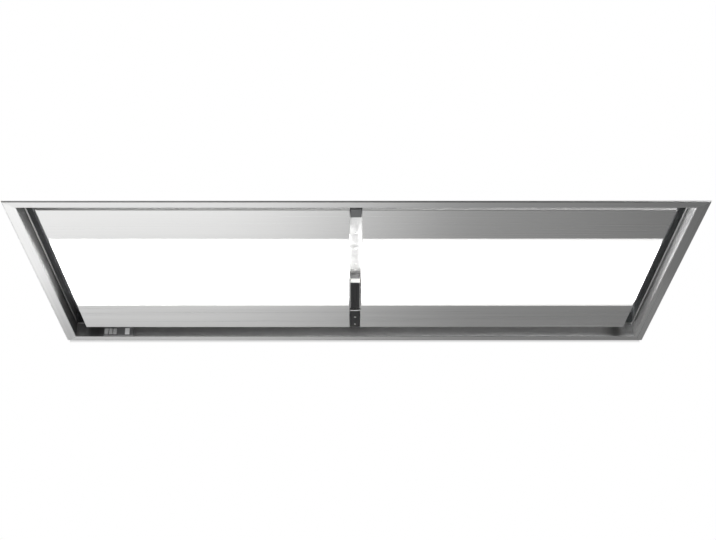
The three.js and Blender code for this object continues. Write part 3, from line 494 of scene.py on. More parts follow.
def dress(names, material, bevel, segments=2):
    """Gives carried-over CAD nodes their finish and softens their edges."""
    for name in names.split():
        solid = NODES[name]
        mesh = solid.data
        for layer in ("custom_normal", "sharp_edge", "sharp_face"):
            if layer in mesh.attributes:
                mesh.attributes.remove(mesh.attributes[layer])
        mesh.materials.clear()
        mesh.materials.append(material)
        mesh.shade_smooth()
        settle(solid.modifiers.new("joined_points", "WELD"), merge_threshold=WELD_REACH)
        if bevel:
            rounded(solid, bevel, segments)
        else:
            split = solid.modifiers.new("split_edges", "EDGE_SPLIT")
            split.split_angle = radians(SHARP)
        evened(solid)


def rectangle(x0, x1, y0, y1, radius, z, steps=4):
    """A rounded rectangle as a ring of points at one height."""
    x0, x1, y0, y1 = x0 + radius, x1 - radius, y0 + radius, y1 - radius
    ring = []
    for quarter, centre in enumerate(((x1, y1), (x0, y1), (x0, y0), (x1, y0))):
        ring += [(*point, z) for point in arc(*centre, radius, quarter, quarter + 1, steps)]
    return ring


def arc(cx, cy, radius, start, end, steps):
    """Points of an arc, angles in quarters of a turn."""
    angles = [(start + (end - start) * i / steps) * pi / 2 for i in range(steps + 1)]
    return [(cx + radius * cos(a), cy + radius * sin(a)) for a in angles]


# --- trim sides

OPEN_X, OPEN_Y = 675.0, 325.0
RIM, DROP, SHEET, RISE, LIP, FOLD, SEAM = 25.0, 3.0, 1.2, 34.0, 2.6, 2.0, 1.9
MITRE = 0.1


def trim_side(name, along, sign, steel, wall, fold=None, seam=None):
    """One mitred side: lip, rim, fold, inner wall and the rolled seam at its top."""
    section = [(0, RISE - 3.2)]
    section += arc(FOLD, FOLD - DROP, FOLD, 2, 3, 7)
    section += arc(RIM - LIP, LIP - DROP, LIP, 3, 4, 8)
    section += [(RIM, -0.1), (RIM - 0.1, 0), (RIM - SHEET, 0)]
    section += arc(RIM - LIP, LIP - DROP, LIP - SHEET, 4, 3, 5)
    section += arc(FOLD, FOLD - DROP, FOLD - SHEET, 3, 2, 4)
    section += arc(SHEET - SEAM, RISE - SHEET, SEAM, 0, 3, 9)
    half, other = (OPEN_X, OPEN_Y) if along == ALONG_X else (OPEN_Y, OPEN_X)
    rings = []
    for end in (-1, 1):
        ring = []
        for out, z in section:
            point = [end * (half + out - MITRE), sign * (other + out)]
            ring.append((*(point if along == ALONG_X else point[::-1]), z))
        rings.append(ring)
    sheet = Form().loft(rings)
    piece = sheet.made(f"{name}_sheet", steel, "stainless", replaces=(name,), sharp=30)
    for other_steel in (wall, seam or steel, fold or steel):
        piece.data.materials.append(other_steel)
    on_wall, on_seam, on_fold = 1, 2, 3
    for face in piece.data.polygons:
        inward = -sign * face.normal[1 - along]
        if face.center.z > (RISE - 4) * MM:
            face.material_index = on_seam
        elif inward > 0.9:
            face.material_index = on_wall
        elif inward > 0.15:
            face.material_index = on_fold


trim_side("trim_front", ALONG_X, -1, rim_front, wall_front)
trim_side("trim_back", ALONG_X, 1, rim_back, wall_back, fold=fold_back)
trim_side("trim_left", ALONG_Y, -1, rim_left, wall_left, seam=seam_left)
trim_side("trim_right", ALONG_Y, 1, rim_right, wall_right)

# --- light panels

PANEL_FACE, PANEL_TOP = 8.5, 28.5
PANEL_X = (12.5, 645.0)
PANEL_Y = 295.0
HEM, HEM_TOP, LIGHT_Y = 1.6, 11.9, 170.0
EDGE_RADIUS = 1.6
HINGE, EYE_RADIUS, PIN_HOLE = (284.0, 35.5), 6.2, 3.08
EYE_WIDTH = 8.0
EYES = (13.8, 615.0)
SIDE_LIGHT = (-164, 36, 12.5, 23.5)


def panel_skin(side, sign):
    """The tray's folded sheet, with the opening for the lit field."""
    x0, x1 = sorted((sign * PANEL_X[0], sign * PANEL_X[1]))

    def ring(inset, z, radius=0.8):
        across = inset if z > PANEL_FACE + 1.7 else inset * 0.45
        y = PANEL_Y - inset
        return rectangle(x0 + across, x1 - across, -y, y, radius, z)

    def window(out, z):
        hem, y = HEM - out * 0.4, LIGHT_Y + out
        return rectangle(x0 + hem, x1 - hem, -y, y, 0.3 + out * 0.2, z)

    low, r = PANEL_FACE, EDGE_RADIUS
    rings = [window(0, HEM_TOP), window(0, low + 0.5), window(0.15, low + 0.1), window(0.5, low)]
    rings += [ring(inset, z, 0.6) for inset, z in arc(r, low + r, r, 3, 2, 6)]
    rings += [ring(0, PANEL_TOP - 0.4), ring(0.4, PANEL_TOP), ring(SHEET, PANEL_TOP)]
    rings += [ring(SHEET, low + 1.8, 0.3), window(0.4, low + SHEET), window(0.4, HEM_TOP)]
    form, body = Form().loft(rings, closed=True), f"{side}_panel"
    skin = form.made(f"{body}_skin", steel_x, "stainless", body, (f"{body}_tray",), sharp=40)
    skin.data.materials.append(side_steel)
    for face in skin.data.polygons:
        upright = abs(face.normal.z) < 0.5 and face.center.z > (PANEL_FACE + 0.8) * MM
        if upright and (face.normal.y < -0.5 or abs(face.center.x) < 20 * MM):
            face.material_index = 1


def hinge_eyes(side, sign):
    """Two eyes with bushed holes, standing on the floor of the panel."""
    form = Form()
    y0, z0 = HINGE
    foot = z0 - PANEL_FACE - 1.0
    angles = turn(48)

    def outline(x):
        """Round above the axis, straight down to the foot below it."""
        ring = []
        for a in angles:
            c, s = cos(a), sin(a)
            reach = EYE_RADIUS
            if s < 0:
                reach = min(EYE_RADIUS / max(abs(c), 1e-6), foot / abs(s))
            ring.append((x, y0 + reach * c, z0 + reach * s))
        return ring

    def hole(x):
        return [(x, y0 + PIN_HOLE * cos(a), z0 + PIN_HOLE * sin(a)) for a in angles]

    for start in EYES:
        near, far = sign * start, sign * (start + EYE_WIDTH)
        form.loft([outline(near), outline(far), hole(far), hole(near)], closed=True)
    form.made(f"{side}_hinge_eyes", zinc_plate, "zinc_steel", f"{side}_panel", sharp=30)


def back_cover(side, sign):
    """The panel's galvanised back: pressed beads, louvres for the lights' heat, screws."""
    body = f"{side}_panel"
    dress(f"{body}_back_cover", zinc_sheet, 0.2, 1)
    form = Form()
    middle = sign * (PANEL_X[0] + PANEL_X[1]) / 2
    top = PANEL_TOP
    for x, y in product((-215, 215), (-235, 150)):
        form.bead((middle + x, y, top), 150, 12, 1.5, UP, RIGHT)
    for x in (-255, -85, 85, 255):
        form.bead((middle + x, -45, top), 300, 12, 1.5, UP, BACK)
    for k, y in product(range(9), (-170, 60)):
        form.bead((middle, y + k * 12, top), 54, 5, 1.3, UP, RIGHT)
    form.made(f"{side}_cover_beads", *SHEET_METAL, body, sharp=60)
    screws = Form()
    for x, y in product((-300, -180, -60, 60, 180, 300), (-282, 262)):
        screws.screw((middle + x, y, top), UP, 2.9, 1.6)
    screws.made(f"{side}_cover_screws", *SCREW, body)


def side_light(side, sign):
    """The opal strip in the panel's side towards the gap."""
    flat = [rectangle(*SIDE_LIGHT, 2.5, x) for x in sorted((sign * 12.25, sign * 12.8))]
    strip = Form().loft([[(x, y, z) for y, z, x in ring] for ring in flat])
    strip.made(f"{side}_side_light", side_glow, "opal", f"{side}_panel", bevel=0.1)


for panel, sign in (("left", -1), ("right", 1)):
    panel_skin(panel, sign)
    hinge_eyes(panel, sign)
    back_cover(panel, sign)
    side_light(panel, sign)
    dress(f"{panel}_panel_diffuser", opal, 0.15)
    dress(f"{panel}_panel_light_board", white, 0)

# --- gap between the panels

BLOCK_FACE, CONNECTOR_TOP = 9.5, 32.0
RAIL_FACE, CATCH_FACE = 32.3, 28.7


def ribbed(half, foot, top, grooves, depth=0.8, width=1.3, corner=0.8):
    """A block's section with grooves along its lower face."""
    outline = [(-half, top), (-half, foot + corner), (-half + corner, foot)]
    for x in grooves:
        x0, x1 = x - width / 2, x + width / 2
        outline += [(x0 - 0.3, foot), (x0, foot + depth), (x1, foot + depth), (x1 + 0.3, foot)]
    return outline + [(half - corner, foot), (half, foot + corner), (half, top)]


def connector():
    """The black cover in the gap, its cheeks, plug and bracket, and the bridge behind it."""
    top = CONNECTOR_TOP
    body = Form().prism(ribbed(10.2, BLOCK_FACE, top, (-3.6, 3.6)), 50.0, 188.0, axis=1)
    body.made("connector_body", *BLACK, replaces=("connector_cover",), bevel=0.3)
    cheeks = Form()
    for x0, x1 in ((-11.4, -10.3), (10.3, 11.4)):
        cheeks.box((x0, 50.5, 10.5), (x1, 187.0, top))
    cheeks.made("connector_cheeks", rail_steel, "stainless", bevel=0.2)
    plug = Form().box((-11.0, 48.6, 10.6), (11.0, 50.2, 20.8))
    for x in (-8.4, -2.8, 2.8, 8.4):
        plug.box((x - 2.4, 47.4, 11.2), (x + 2.4, 49.0, 20.2))
    plug.made("connector_plug", white, "white_plastic", bevel=0.3)
    bridge = Form().box((-11.7, 196.4, 9.0), (11.7, 200.8, 14.0))
    bridge.made("gap_bridge", rail_steel, "stainless", bevel=0.2)
    bracket = Form().box((-10.0, 49.0, 21.4), (10.0, 50.4, top))
    bracket.made("connector_bracket", bracket_steel, "zinc_steel", bevel=0.2)


def gap_details():
    """Screws of the hinge block, rivets of the rail and the magnets' poles."""
    screws = Form().screw((0, 237, BLOCK_FACE), DOWN, 3.0, 1.2)
    screws.screw((0, 278, BLOCK_FACE), DOWN, 2.4, 0.9)
    screws.made("hinge_block_screws", *SCREW)
    rivets = Form()
    for y in (-225, -150, -75, 0, 30):
        rivets.rivet((0, y, RAIL_FACE), DOWN, 2.6)
    rivets.made("rail_rivets", rail_steel, "stainless")
    poles = Form()
    for sign, y, ends in product((-1, 1), (-288, -276), ((15.0, 28.0), (602.0, 630.0))):
        x0, x1 = sorted(sign * x for x in ends)
        poles.box((x0, y, CATCH_FACE), (x1, y + 4, CATCH_FACE + 0.6))
    poles.made("magnet_poles", magnet_face, "zinc_steel")


connector()
gap_details()
dress("centre_rail", rail_steel, 0.5)
dress("centre_catch left_catch right_catch", dark_grey, 0.6)
dress("centre_hinge_block", black, 0.6)

# --- grease filters

FILTER_Y = 240.0
FILTER_LOW, FILTER_TOP = 51.7, 61.7
FILTER_FRAME, FILTER_SHEET = 16.0, 0.8
FILTERS = ((-658, -358), (-340, -40), (40, 340), (358, 658))
# The lattice's layers: angle of the strands, lower and upper height, pitch, width.
LATTICE = ((58, 52.6, 53.3, 7.0, 1.1), (122, 53.1, 53.8, 7.0, 1.1),
           (58, 60.1, 60.7, 10.5, 1.3), (122, 59.6, 60.2, 10.5, 1.3))


def filter_frame(x0, x1):
    """A filter's folded frame with a rivet at each corner."""
    t, r = FILTER_SHEET, 1.2
    low, top, wide = FILTER_LOW, FILTER_TOP, FILTER_FRAME
    section = [(wide, low), (r, low), (r * 0.3, low + r * 0.3), (0, low + r)]
    section += [(0, top - r), (r * 0.3, top - r * 0.3), (r, top), (wide, top), (wide, top - t)]
    section += [(r + 0.2, top - t), (t, top - r - 0.2), (t, low + r + 0.2)]
    section += [(r + 0.2, low + t), (wide, low + t)]
    rings = [
        rectangle(x0 + s, x1 - s, -FILTER_Y + s, FILTER_Y - s, 1.5, z, 3) for s, z in section
    ]
    form = Form().loft(rings, closed=True)
    for x, y in product((x0 + 8, x1 - 8), (-FILTER_Y + 9.8, FILTER_Y - 9.8)):
        form.rivet((x, y, low), DOWN, 2.2)
    return form


def strands(form, x0, x1, y0, y1, slope, z0, z1, pitch, wide):
    """Parallel bars across a rectangle, each cut where it leaves it."""
    d = Vector((cos(slope), sin(slope)))
    n = Vector((-d.y, d.x))
    centre = Vector(((x0 + x1) / 2, (y0 + y1) / 2))
    reach = (x1 - x0) / 2 * abs(n.x) + (y1 - y0) / 2 * abs(n.y)
    count = int(2 * reach / pitch)
    for k in range(count):
        at = centre + n * ((k + 0.5) * pitch - count * pitch / 2)
        spans = []
        for low, high, p, q in ((x0, x1, at.x, d.x), (y0, y1, at.y, d.y)):
            spans.append(sorted(((low - p) / q, (high - p) / q)))
        start, end = max(s[0] for s in spans), min(s[1] for s in spans)
        if end - start >= 2:
            a, b, side = at + d * start, at + d * end, n * wide / 2
            form.prism([a - side, a + side, b + side, b - side], z0, z1)


def corrugated(form, x0, x1, y0, y1, z, height, pitch, thick, steps=6):
    """A sheet in waves along Y."""
    count = int((y1 - y0) / pitch * steps)
    rings = []
    for k in range(count + 1):
        y = y0 + (y1 - y0) * k / count
        low = z + height / 2 * (1 - cos(2 * pi * k / steps))
        rings.append([(x0, y, low), (x1, y, low), (x1, y, low + thick), (x0, y, low + thick)])
    form.loft(rings)


def grease_filter(number, x0, x1):
    """Frame, two crossed lattices, the pad between them and a wire handle."""
    name = f"filter_{number}"
    frame_form = filter_frame(x0, x1)
    frame_form.made(f"{name}_frame", mesh_metal, "aluminium", replaces=(name,), sharp=30)
    edge = FILTER_FRAME - 2.5
    area = (x0 + edge, x1 - edge, -FILTER_Y + edge, FILTER_Y - edge)
    lattice = Form()
    for slope, *layer in LATTICE:
        strands(lattice, *area, radians(slope), *layer)
    lattice.made(f"{name}_lattice", mesh_metal, "aluminium", sharp=30)
    pad = Form()
    corrugated(pad, *area, 54.3, 4.4, 9.0, 0.4)
    pad.made(f"{name}_pad", pad_metal, "aluminium", sharp=50)
    middle = (x0 + x1) / 2
    low = FILTER_LOW - 1.9
    loop = [(middle - 32, -218, low + 1.6), (middle - 32, -212, low)]
    for a in (0.0, 0.5, 1.0, 1.57):
        loop.append((middle - 31 + 7 * (1 - cos(a)), -199 + 7 * sin(a), low))
    loop += [(2 * middle - x, y, z) for x, y, z in reversed(loop)]
    handle = Form().tube(loop, 1.3)
    handle.made(f"{name}_handle", *SCREW)


for number, (x0, x1) in enumerate(FILTERS, 1):
    grease_filter(number, x0, x1)

# --- the housing

WALL_X, WALL_Y = 677.7, 327.7
LID_TOP, LID_SCREW_X, LID_SCREW_Y = 151.5, 669.5, 320.5
LID_SCREW = (UP, 3.6, 2.0, 5.6)


def housing_details():
    """Pressed beads of the walls, rivets of their corners and the lid's screws."""
    beads, rivets, screws = Form(), Form(), Form()
    for sign in (-1, 1):
        for z in (92, 58):
            beads.bead((0, sign * WALL_Y, z), 1180, 16, 1.8, (0, sign, 0), RIGHT)
            beads.bead((sign * WALL_X, 0, z), 500, 16, 1.8, (sign, 0, 0), BACK)
        for x, z in product((-665, 665), (16, 48, 80, 112)):
            rivets.rivet((x, sign * WALL_Y, z), (0, sign, 0))
        for x in range(-620, 621, 155):
            screws.screw((x, sign * LID_SCREW_Y, LID_TOP), *LID_SCREW)
        for y in (-240, -80, 80, 240):
            screws.screw((sign * LID_SCREW_X, y, LID_TOP), *LID_SCREW)
    beads.made("housing_beads", *SHEET_METAL, sharp=60)
    rivets.made("housing_rivets", *RIVET)
    screws.made("lid_screws", *SCREW)


housing_details()
dress("housing_front_wall housing_back_wall housing_lid filter_deck", zinc_sheet, 0.35)
dress("scroll_base scroll_cover electric_box electric_box_cover", zinc_sheet, 0.35)
dress("housing_left_wall housing_right_wall", zinc_wall, 0.35)
dress("scroll_wall inlet_bell outlet_adapter blower_wheel", zinc_sheet, 0)
dress("hanger_front_left hanger_front_right hanger_back_left hanger_back_right", zinc_plate, 0.5)
dress("filter_rail_front filter_rail_back left_hinge_bracket right_hinge_bracket", zinc_plate, 0.3)
dress("control_bezel", bezel_grey, 0.5)
dress("key_1 key_2 key_3", key_grey, 0.9, 3)
dress("receiver_window", tinted, 0.3)
dress("filter_latch_1 filter_latch_2 filter_latch_3 filter_latch_4", steel_x, 0.4)
dress("motor flap_spindle", zinc_plate, 0)
dress("outlet_collar cable_gland", black, 0)
dress("flap_front flap_back", mesh_metal, 0.2)
dress("light_driver", white, 0.8)

# --- above the ceiling

FAN = (-60.0, 50.0)
SCROLL_RADIUS, SCROLL_GROWTH = 126, 84
COVER_TOP, FLANGE_TOP = 266.5, 269.8
MOUTH_X, MOUTH_Z, OUTLET_Y, OUTLET_Z = 105.0, 209.7, -91.135, 230.5
OUTLET = (0, OUTLET_Y, OUTLET_Z)
BOX_LOW, BOX_HIGH, BOX_TOP = (-590.0, -150.0), (-380.0, -20.0), 211.6
BOX_FEET = (-125, -45)
GLAND_X, GLAND_Y, GLAND_Z = -595.6, -85, 177.9
DRIVER_LOW, DRIVER_TOP = 151.8, 182.0
HANGER = (587.2, 271.2)
FOOT_TOP = 153.4


def scroll_path(offset, steps):
    """The scroll's outline, from its tongue round to its mouth."""
    tongue, end = radians(-35), radians(270)
    inner = FAN[1] + SCROLL_RADIUS * sin(tongue) + offset
    first = -asin((FAN[1] - inner) / (SCROLL_RADIUS + offset))
    points = []
    for i in range(steps + 1):
        a = first + (end - first) * i / steps
        r = SCROLL_RADIUS + SCROLL_GROWTH * (a - tongue) / (end - tongue) + offset
        points.append((FAN[0] + r * cos(a), FAN[1] + r * sin(a)))
    return points


def blower_details():
    """The scroll's folded lips, screws, lock seam and the frame of its mouth."""
    lips = Form()
    outline = scroll_path(9.8, 48) + scroll_path(8.9, 48)[::-1]
    for low, high in ((261.5, 266.6), (151.7, 156.0)):
        lips.prism(outline, low, high)
    seam = scroll_path(3.4, 60)[30:33] + scroll_path(1.0, 60)[30:33][::-1]
    lips.prism(seam, 154.0, 264.6)
    lips.made("scroll_lips", *SHEET_METAL, bevel=0.2)
    screws = Form()
    for x, y in scroll_path(4.6, 22)[1:-1]:
        screws.screw((x, y, COVER_TOP), UP, 3.0, 1.6, 4.2)
    for dy, dz in product((-78.6, 78.6), (-42, 0, 42)):
        screws.screw((MOUTH_X + 1.7, OUTLET_Y + dy, 209.6 + dz), RIGHT, 2.6, 1.5)
    screws.made("scroll_screws", *SCREW)

    def frame_ring(half_y, half_z, radius, x):
        y0, y1 = OUTLET_Y - half_y, OUTLET_Y + half_y
        ring = rectangle(y0, y1, MOUTH_Z - half_z, MOUTH_Z + half_z, radius, x)
        return [(x, y, z) for y, z, x in ring]

    start, end = MOUTH_X + 0.05, MOUTH_X + 1.7
    rings = [frame_ring(82.5, 57.6, 2, x) for x in (start, end)]
    rings += [frame_ring(63, 50, 4, x) for x in (end, start)]
    mouth = Form().loft(rings, closed=True)
    mouth.made("mouth_frame", zinc_plate, "galvanised", sharp=30, bevel=0.2)


def motor_details():
    """Flange screws, cooling ribs, the bearing cap and the terminal box of the motor."""
    x0, y0 = FAN
    screws = Form()
    for k in range(6):
        a = pi * k / 3 + 0.4
        screws.screw((x0 + 55.5 * cos(a), y0 + 55.5 * sin(a), FLANGE_TOP), UP, 3.2, 2.2, 5.2)
    for dy in (-10, 10):
        screws.screw((x0 - 66.4, y0 + dy, 283), LEFT, 1.9, 1.2)
    screws.made("motor_screws", *SCREW)
    stations = ((272.5, 47.5), (273.5, 50.0), (294.0, 50.0), (296.5, 47.5))
    ribs = Form().fins((x0, y0, 0), UP, 40, 47.2, stations, gap=0.36)
    profile = [(10.5, 304.2), (10.5, 305.4), (9.6, 306.2), (4.2, 306.2), (3.6, 305.3), (0, 305.3)]
    ribs.lathe(profile, (x0, y0, 0), UP, 32)
    ribs.made("motor_ribs", zinc_plate, "zinc_steel", sharp=30)
    box = Form().box((x0 - 66.4, y0 - 15, 271.5), (x0 - 46.5, y0 + 15, 294))
    box.made("motor_terminal_box", *BLACK, bevel=1.6, segments=3)


def outlet_details():
    """The collar's rubber lips, ribs and screws, the flaps' beads and their spring."""

    def turned(form, profile):
        return form.lathe(profile, OUTLET, RIGHT, 64, closed=True)

    seal = Form()
    for x in (211.5, 216.5):
        lip = [(74.3, x - 1.6), (75.3, x - 1.6), (77.6, x - 0.2), (77.8, x + 0.4)]
        turned(seal, lip + [(75.6, x + 1.0), (75.2, x + 1.8), (74.3, x + 1.8)])
    turned(seal, [(74.3, 208.5), (75.2, 208.5), (75.2, 220.5), (74.3, 220.5)])
    seal.made("collar_seal", rubber, "black_plastic", sharp=50)
    ribs = Form()
    turned(ribs, [(74.2, 176.0), (77.2, 176.0), (77.2, 178.4), (74.2, 178.4)])
    ribs.fins(OUTLET, RIGHT, 16, 74.2, ((178.0, 77.0), (184.0, 76.2), (194.0, 74.5)))
    ribs.made("collar_ribs", *BLACK, sharp=30)
    screws = Form()
    for k in range(6):
        a = pi * k / 3 + 0.3
        side = Vector((0, cos(a), sin(a)))
        screws.screw(Vector((200.0, OUTLET_Y, OUTLET_Z)) + side * 74.4, side, 2.6, 1.4)
    screws.made("collar_screws", *SCREW)
    for name, sign in (("flap_front", -1), ("flap_back", 1)):
        bead = Form()
        for dy, length, width in ((36, 84, 9), (54, 52, 7)):
            bead.bead((202.15, OUTLET_Y + sign * dy, OUTLET_Z), length, width, 1.2, RIGHT, UP)
        bead.made(f"{name}_beads", mesh_metal, "aluminium", name, sharp=60)
    turns, steps, radius = 6, 14, 3.5
    coil = []
    for k in range(turns * steps + 1):
        a = 2 * pi * k / steps
        x, y = 204.6 + radius * cos(a), OUTLET_Y + radius * sin(a)
        coil.append((x, y, 242.6 + 5.6 * k / (turns * steps)))
    Form().tube(coil, 0.4, 6).made("flap_spring", *SCREW, sharp=50)


def electric_details():
    """The box's screws, feet, knock-outs and pressed beads, and the gland's nut."""
    (x0, y0), (x1, y1) = BOX_LOW, BOX_HIGH
    screws, plates, feet = Form(), Form(), Form()
    for x, y in product((x0 + 14, x1 - 14), (y0 + 14, y1 - 14)):
        screws.screw((x, y, BOX_TOP), UP, 3.0, 1.7, 4.6)
    for y in BOX_FEET:
        screws.screw((x0 - 2, y, 204), LEFT, 2.4, 1.3)
        screws.screw((x1 + 2, y, 204), RIGHT, 2.4, 1.3)
        for x in (x0 - 7.5, x1 + 5.5):
            plates.box((x - 6, y - 9, 151.6), (x + 6, y + 9, 153.2))
        for x in (x0 - 8.5, x1 + 6.5):
            feet.screw((x, y, 153.2), UP, 3.0, 1.7, 4.2)
    screws.made("box_screws", *SCREW)
    for y in (-111, -85, -59):
        plates.bead((-485, y, BOX_TOP), 140, 9, 1.4, UP, RIGHT)
    ring = [(11.0, -0.1), (11.0, 0.5), (9.8, 0.5), (9.6, 0.15), (0, 0.15)]
    for x in (-545, -485, -425):
        plates.lathe(ring, (x, y0, 174), FRONT, 28)
    for y in (-115, -55):
        plates.lathe(ring, (x1, y, 174), RIGHT, 28)
    plates.made("box_pressings", *SHEET_METAL, sharp=50)
    feet.made("box_feet_screws", *SCREW)
    dome = [(9.7, 0), (9.7, 9.0), (9.0, 11.5), (7.2, 13.6), (4.9, 14.4), (4.2, 14.4), (4.2, 0)]
    gland = Form().lathe(dome, (GLAND_X, GLAND_Y, GLAND_Z), LEFT, 36, closed=True)
    stations = ((-596.0, 10.3), (-603.6, 10.3))
    gland.fins((0, GLAND_Y, GLAND_Z), RIGHT, 18, 9.4, stations, foot=0.8, phase=0)
    gland.made("gland_nut", *BLACK, sharp=30)


def driver_details():
    """The light driver's end caps, feet, terminals and blank recess."""
    caps, feet, screws, holes = Form(), Form(), Form(), Form()
    low, top = DRIVER_LOW, DRIVER_TOP
    section = [(89.5, low), (142.5, low), (142.5, top - 4.2), (138.3, top), (93.7, top)]
    section.append((89.5, top - 4.2))
    for x0, x1, out in ((329.6, 344.0, -1), (466.0, 480.4, 1)):
        caps.prism(section, x0, x1, axis=0)
        tip = x0 if out < 0 else x1
        start, end = sorted((tip, tip + out * 14))
        feet.box((start, 106, low - 0.1), (end, 126, FOOT_TOP))
        screws.screw((tip + out * 8, 116, FOOT_TOP), UP, 3.0, 1.8, 4.4)
        start, end = sorted((tip + out * 0.05, tip - out * 0.6))
        for y, (half, z) in product((98, 110, 122, 134), ((3, 158), (2.2, 168))):
            holes.box((start - 0.1, y - half, z), (end + 0.1, y + half, z + 5))
    caps.made("driver_caps", key_grey, "grey_plastic", bevel=0.8)
    feet.made("driver_feet", key_grey, "grey_plastic", bevel=0.4)
    screws.made("driver_screws", *SCREW)
    holes.made("driver_terminals", *BLACK, bevel=0.15)
    pad = Form().loft([rectangle(356, 454, 98, 134, 3, z) for z in (181.4, 181.8)])
    pad.made("driver_pad", white, "white_plastic", bevel=0.15)


def hanger_details():
    """Rivets and gussets of the four hangers, above and below each upright."""
    rivets, gussets = Form(), Form()
    below = ((-0.1, 154.2), (-11, 154.2), (-0.1, 166.5))
    above = ((2.6, 173.4), (12, 173.4), (2.6, 162.5))
    for sx, sy in product((-1, 1), repeat=2):
        x, y = sx * HANGER[0], sy * HANGER[1]
        for reach, dy in product((10, 25), (-12, 12)):
            rivets.rivet((x - sx * reach, y + dy, 154.3), UP, 3.0)
        for dy, corners in product((-15, 15), (below, above)):
            outline = [(x + sx * out, z) for out, z in corners]
            gussets.prism(outline, y + dy - 1.2, y + dy + 1.2, axis=1)
    rivets.made("hanger_rivets", *RIVET)
    gussets.made("hanger_gussets", zinc_plate, "zinc_steel", bevel=0.3)


def rail_details():
    """Screws in the filter rails, rivets round the deck, rolled edges on the latches."""
    screws, rivets = Form(), Form()
    for k in range(-4, 5):
        for y in (316.0, -316.0):
            rivets.rivet((k * 140.0, y, 62.0), DOWN)
        for y in (-260.0, 249.5):
            if k:
                screws.screw((k * 150.0, y, 60.5), DOWN, 3.0, 1.7, 4.4)
    screws.made("rail_screws", *SCREW)
    rivets.made("deck_rivets", *RIVET)
    for number, (x0, x1) in enumerate(FILTERS, 1):
        x, latch = (x0 + x1) / 2, f"filter_latch_{number}"
        edge = Form().tube([(x - 16.8, -209.5, 39.8), (x + 16.8, -209.5, 39.8)], 1.7, 12)
        edge.made(f"latch_{number}_edge", steel_x, "stainless", latch)
        pins = Form()
        for dx in (-11, 11):
            pins.rivet((x + dx, -230, 49.35), DOWN, 2.6)
        pins.made(f"latch_{number}_pins", *SCREW, latch)


blower_details()
motor_details()
outlet_details()
electric_details()
driver_details()
hanger_details()
rail_details()

# --- stage


def board(name, corners, faces, material):
    """A piece of the surroundings, in metres."""
    made = linked(name, meshed(name, corners, faces, material))
    return made


def glowing(name, level, strength=1.0, from_below=False):
    """A material that only shines. Its level is a colour, or made by a function."""
    material = bpy.data.materials.new(name)
    material.use_nodes = True
    tree = material.node_tree
    tree.nodes.clear()
    colour = level(tree, object_xyz(tree)) if callable(level) else level
    surface = node(tree, "Emission", {"Color": colour, "Strength": strength})
    if from_below:
        camera_ray = node(tree, "LightPath").outputs["Is Camera Ray"]
        back = node(tree, "NewGeometry").outputs["Backfacing"]
        front = maths(tree, "SUBTRACT", camera_ray, back, clamp=True)
        clear = node(tree, "BsdfTransparent").outputs[0]
        surface = node(tree, "MixShader", {0: front, 1: clear, 2: surface.outputs[0]})
    node(tree, "OutputMaterial", {0: surface.outputs[0]})
    return material


# The ceiling's contact shadow behind the far edge, by the distance in Y.
CONTACT = [(0.300, 0.58), (0.350, 0.58), (0.357, 0.64), (0.363, 0.72), (0.369, 0.92),
           (0.375, 1.0), (0.400, 1.0)]
CEILING_Z = 0.0004


def ceiling():
    """A white board round the opening. Only the camera sees it, and only from below."""
    inner = [(0.69, 0.34), (-0.69, 0.34), (-0.69, -0.34), (0.69, -0.34)]
    shade = [(0.7005, 0.375), (-0.7005, 0.375), (-0.7005, -0.36), (0.7005, -0.36)]
    outer = [(2.2, 1.8), (-2.2, 1.8), (-2.2, -1.4), (2.2, -1.4)]
    corners = [(x, y, CEILING_Z) for x, y in inner + shade + outer]
    faces = []
    for ring, i in product((0, 4), range(4)):
        j = (i + 1) % 4
        faces.append((ring + i, ring + j, ring + 4 + j, ring + 4 + i))
    shadow = glowing(
        "ceiling_white", lambda tree, xyz: graded(tree, xyz["Y"], CONTACT), from_below=True
    )
    made = board("ceiling", corners, faces, shadow)
    made.data.materials.append(glowing("ceiling_plain", WHITE, from_below=True))
    for face in made.data.polygons:
        behind_rim = abs(face.center.x) < 0.1 and 0.3 < face.center.y < 0.4
        face.material_index = 0 if behind_rim else 1
    made.visible_shadow = False


FLOOR_Z, FLOOR_REACH = -2.6, 200
FLOOR_GLOW = 0.3


def floor():
    """A pale floor, a little lighter to the camera than its lamps make it."""
    material, tree, inputs = shader(
        "pale_floor", (0.82, 0.82, 0.81), 0.6, Specular_IOR_Level=0.2, Emission_Color=WHITE
    )
    camera_ray = node(tree, "LightPath").outputs["Is Camera Ray"]
    glow = maths(tree, "MULTIPLY", camera_ray, FLOOR_GLOW)
    feed(tree, inputs["Emission Strength"], glow)
    r = FLOOR_REACH
    corners = [(x, y, FLOOR_Z) for x, y in ((-r, -r), (r, -r), (r, r), (-r, r))]
    board("floor", corners, [(0, 1, 2, 3)], material)


ceiling()
floor()

# What the steel reflects: light levels along X, at three heights of the wall behind.
NEAR_LEVELS = [
    (-1.5, 1.761), (-1.22, 1.747), (-0.85, 1.717), (-0.44, 1.695), (-0.23, 1.512),
    (-0.066, 1.299), (0.1, 1.056), (0.27, 0.836), (0.39, 0.491), (0.6, 0.5), (1.01, 0.395),
    (1.5, 0.189),
]
FAR_LEVELS = [
    (-1.5, 0.41), (-1.04, 0.412), (-0.633, 0.458), (-0.429, 0.383), (-0.224, 0.251),
    (-0.061, 0.178), (0.1, 0.135), (0.266, 0.154), (0.389, 0.126), (0.593, 0.129),
    (1.0, 0.198), (1.5, 0.393),
]
HIGH_LEVELS = [
    (-1.5, 0.105), (-1.0, 0.088), (-0.43, 0.068), (-0.06, 0.118), (0.1, 0.08),
    (0.39, 0.208), (1.0, 0.207), (1.5, 0.176),
]
NEAR_Z, FAR_Z, HIGH_Z = -1.324, -1.06, -0.76
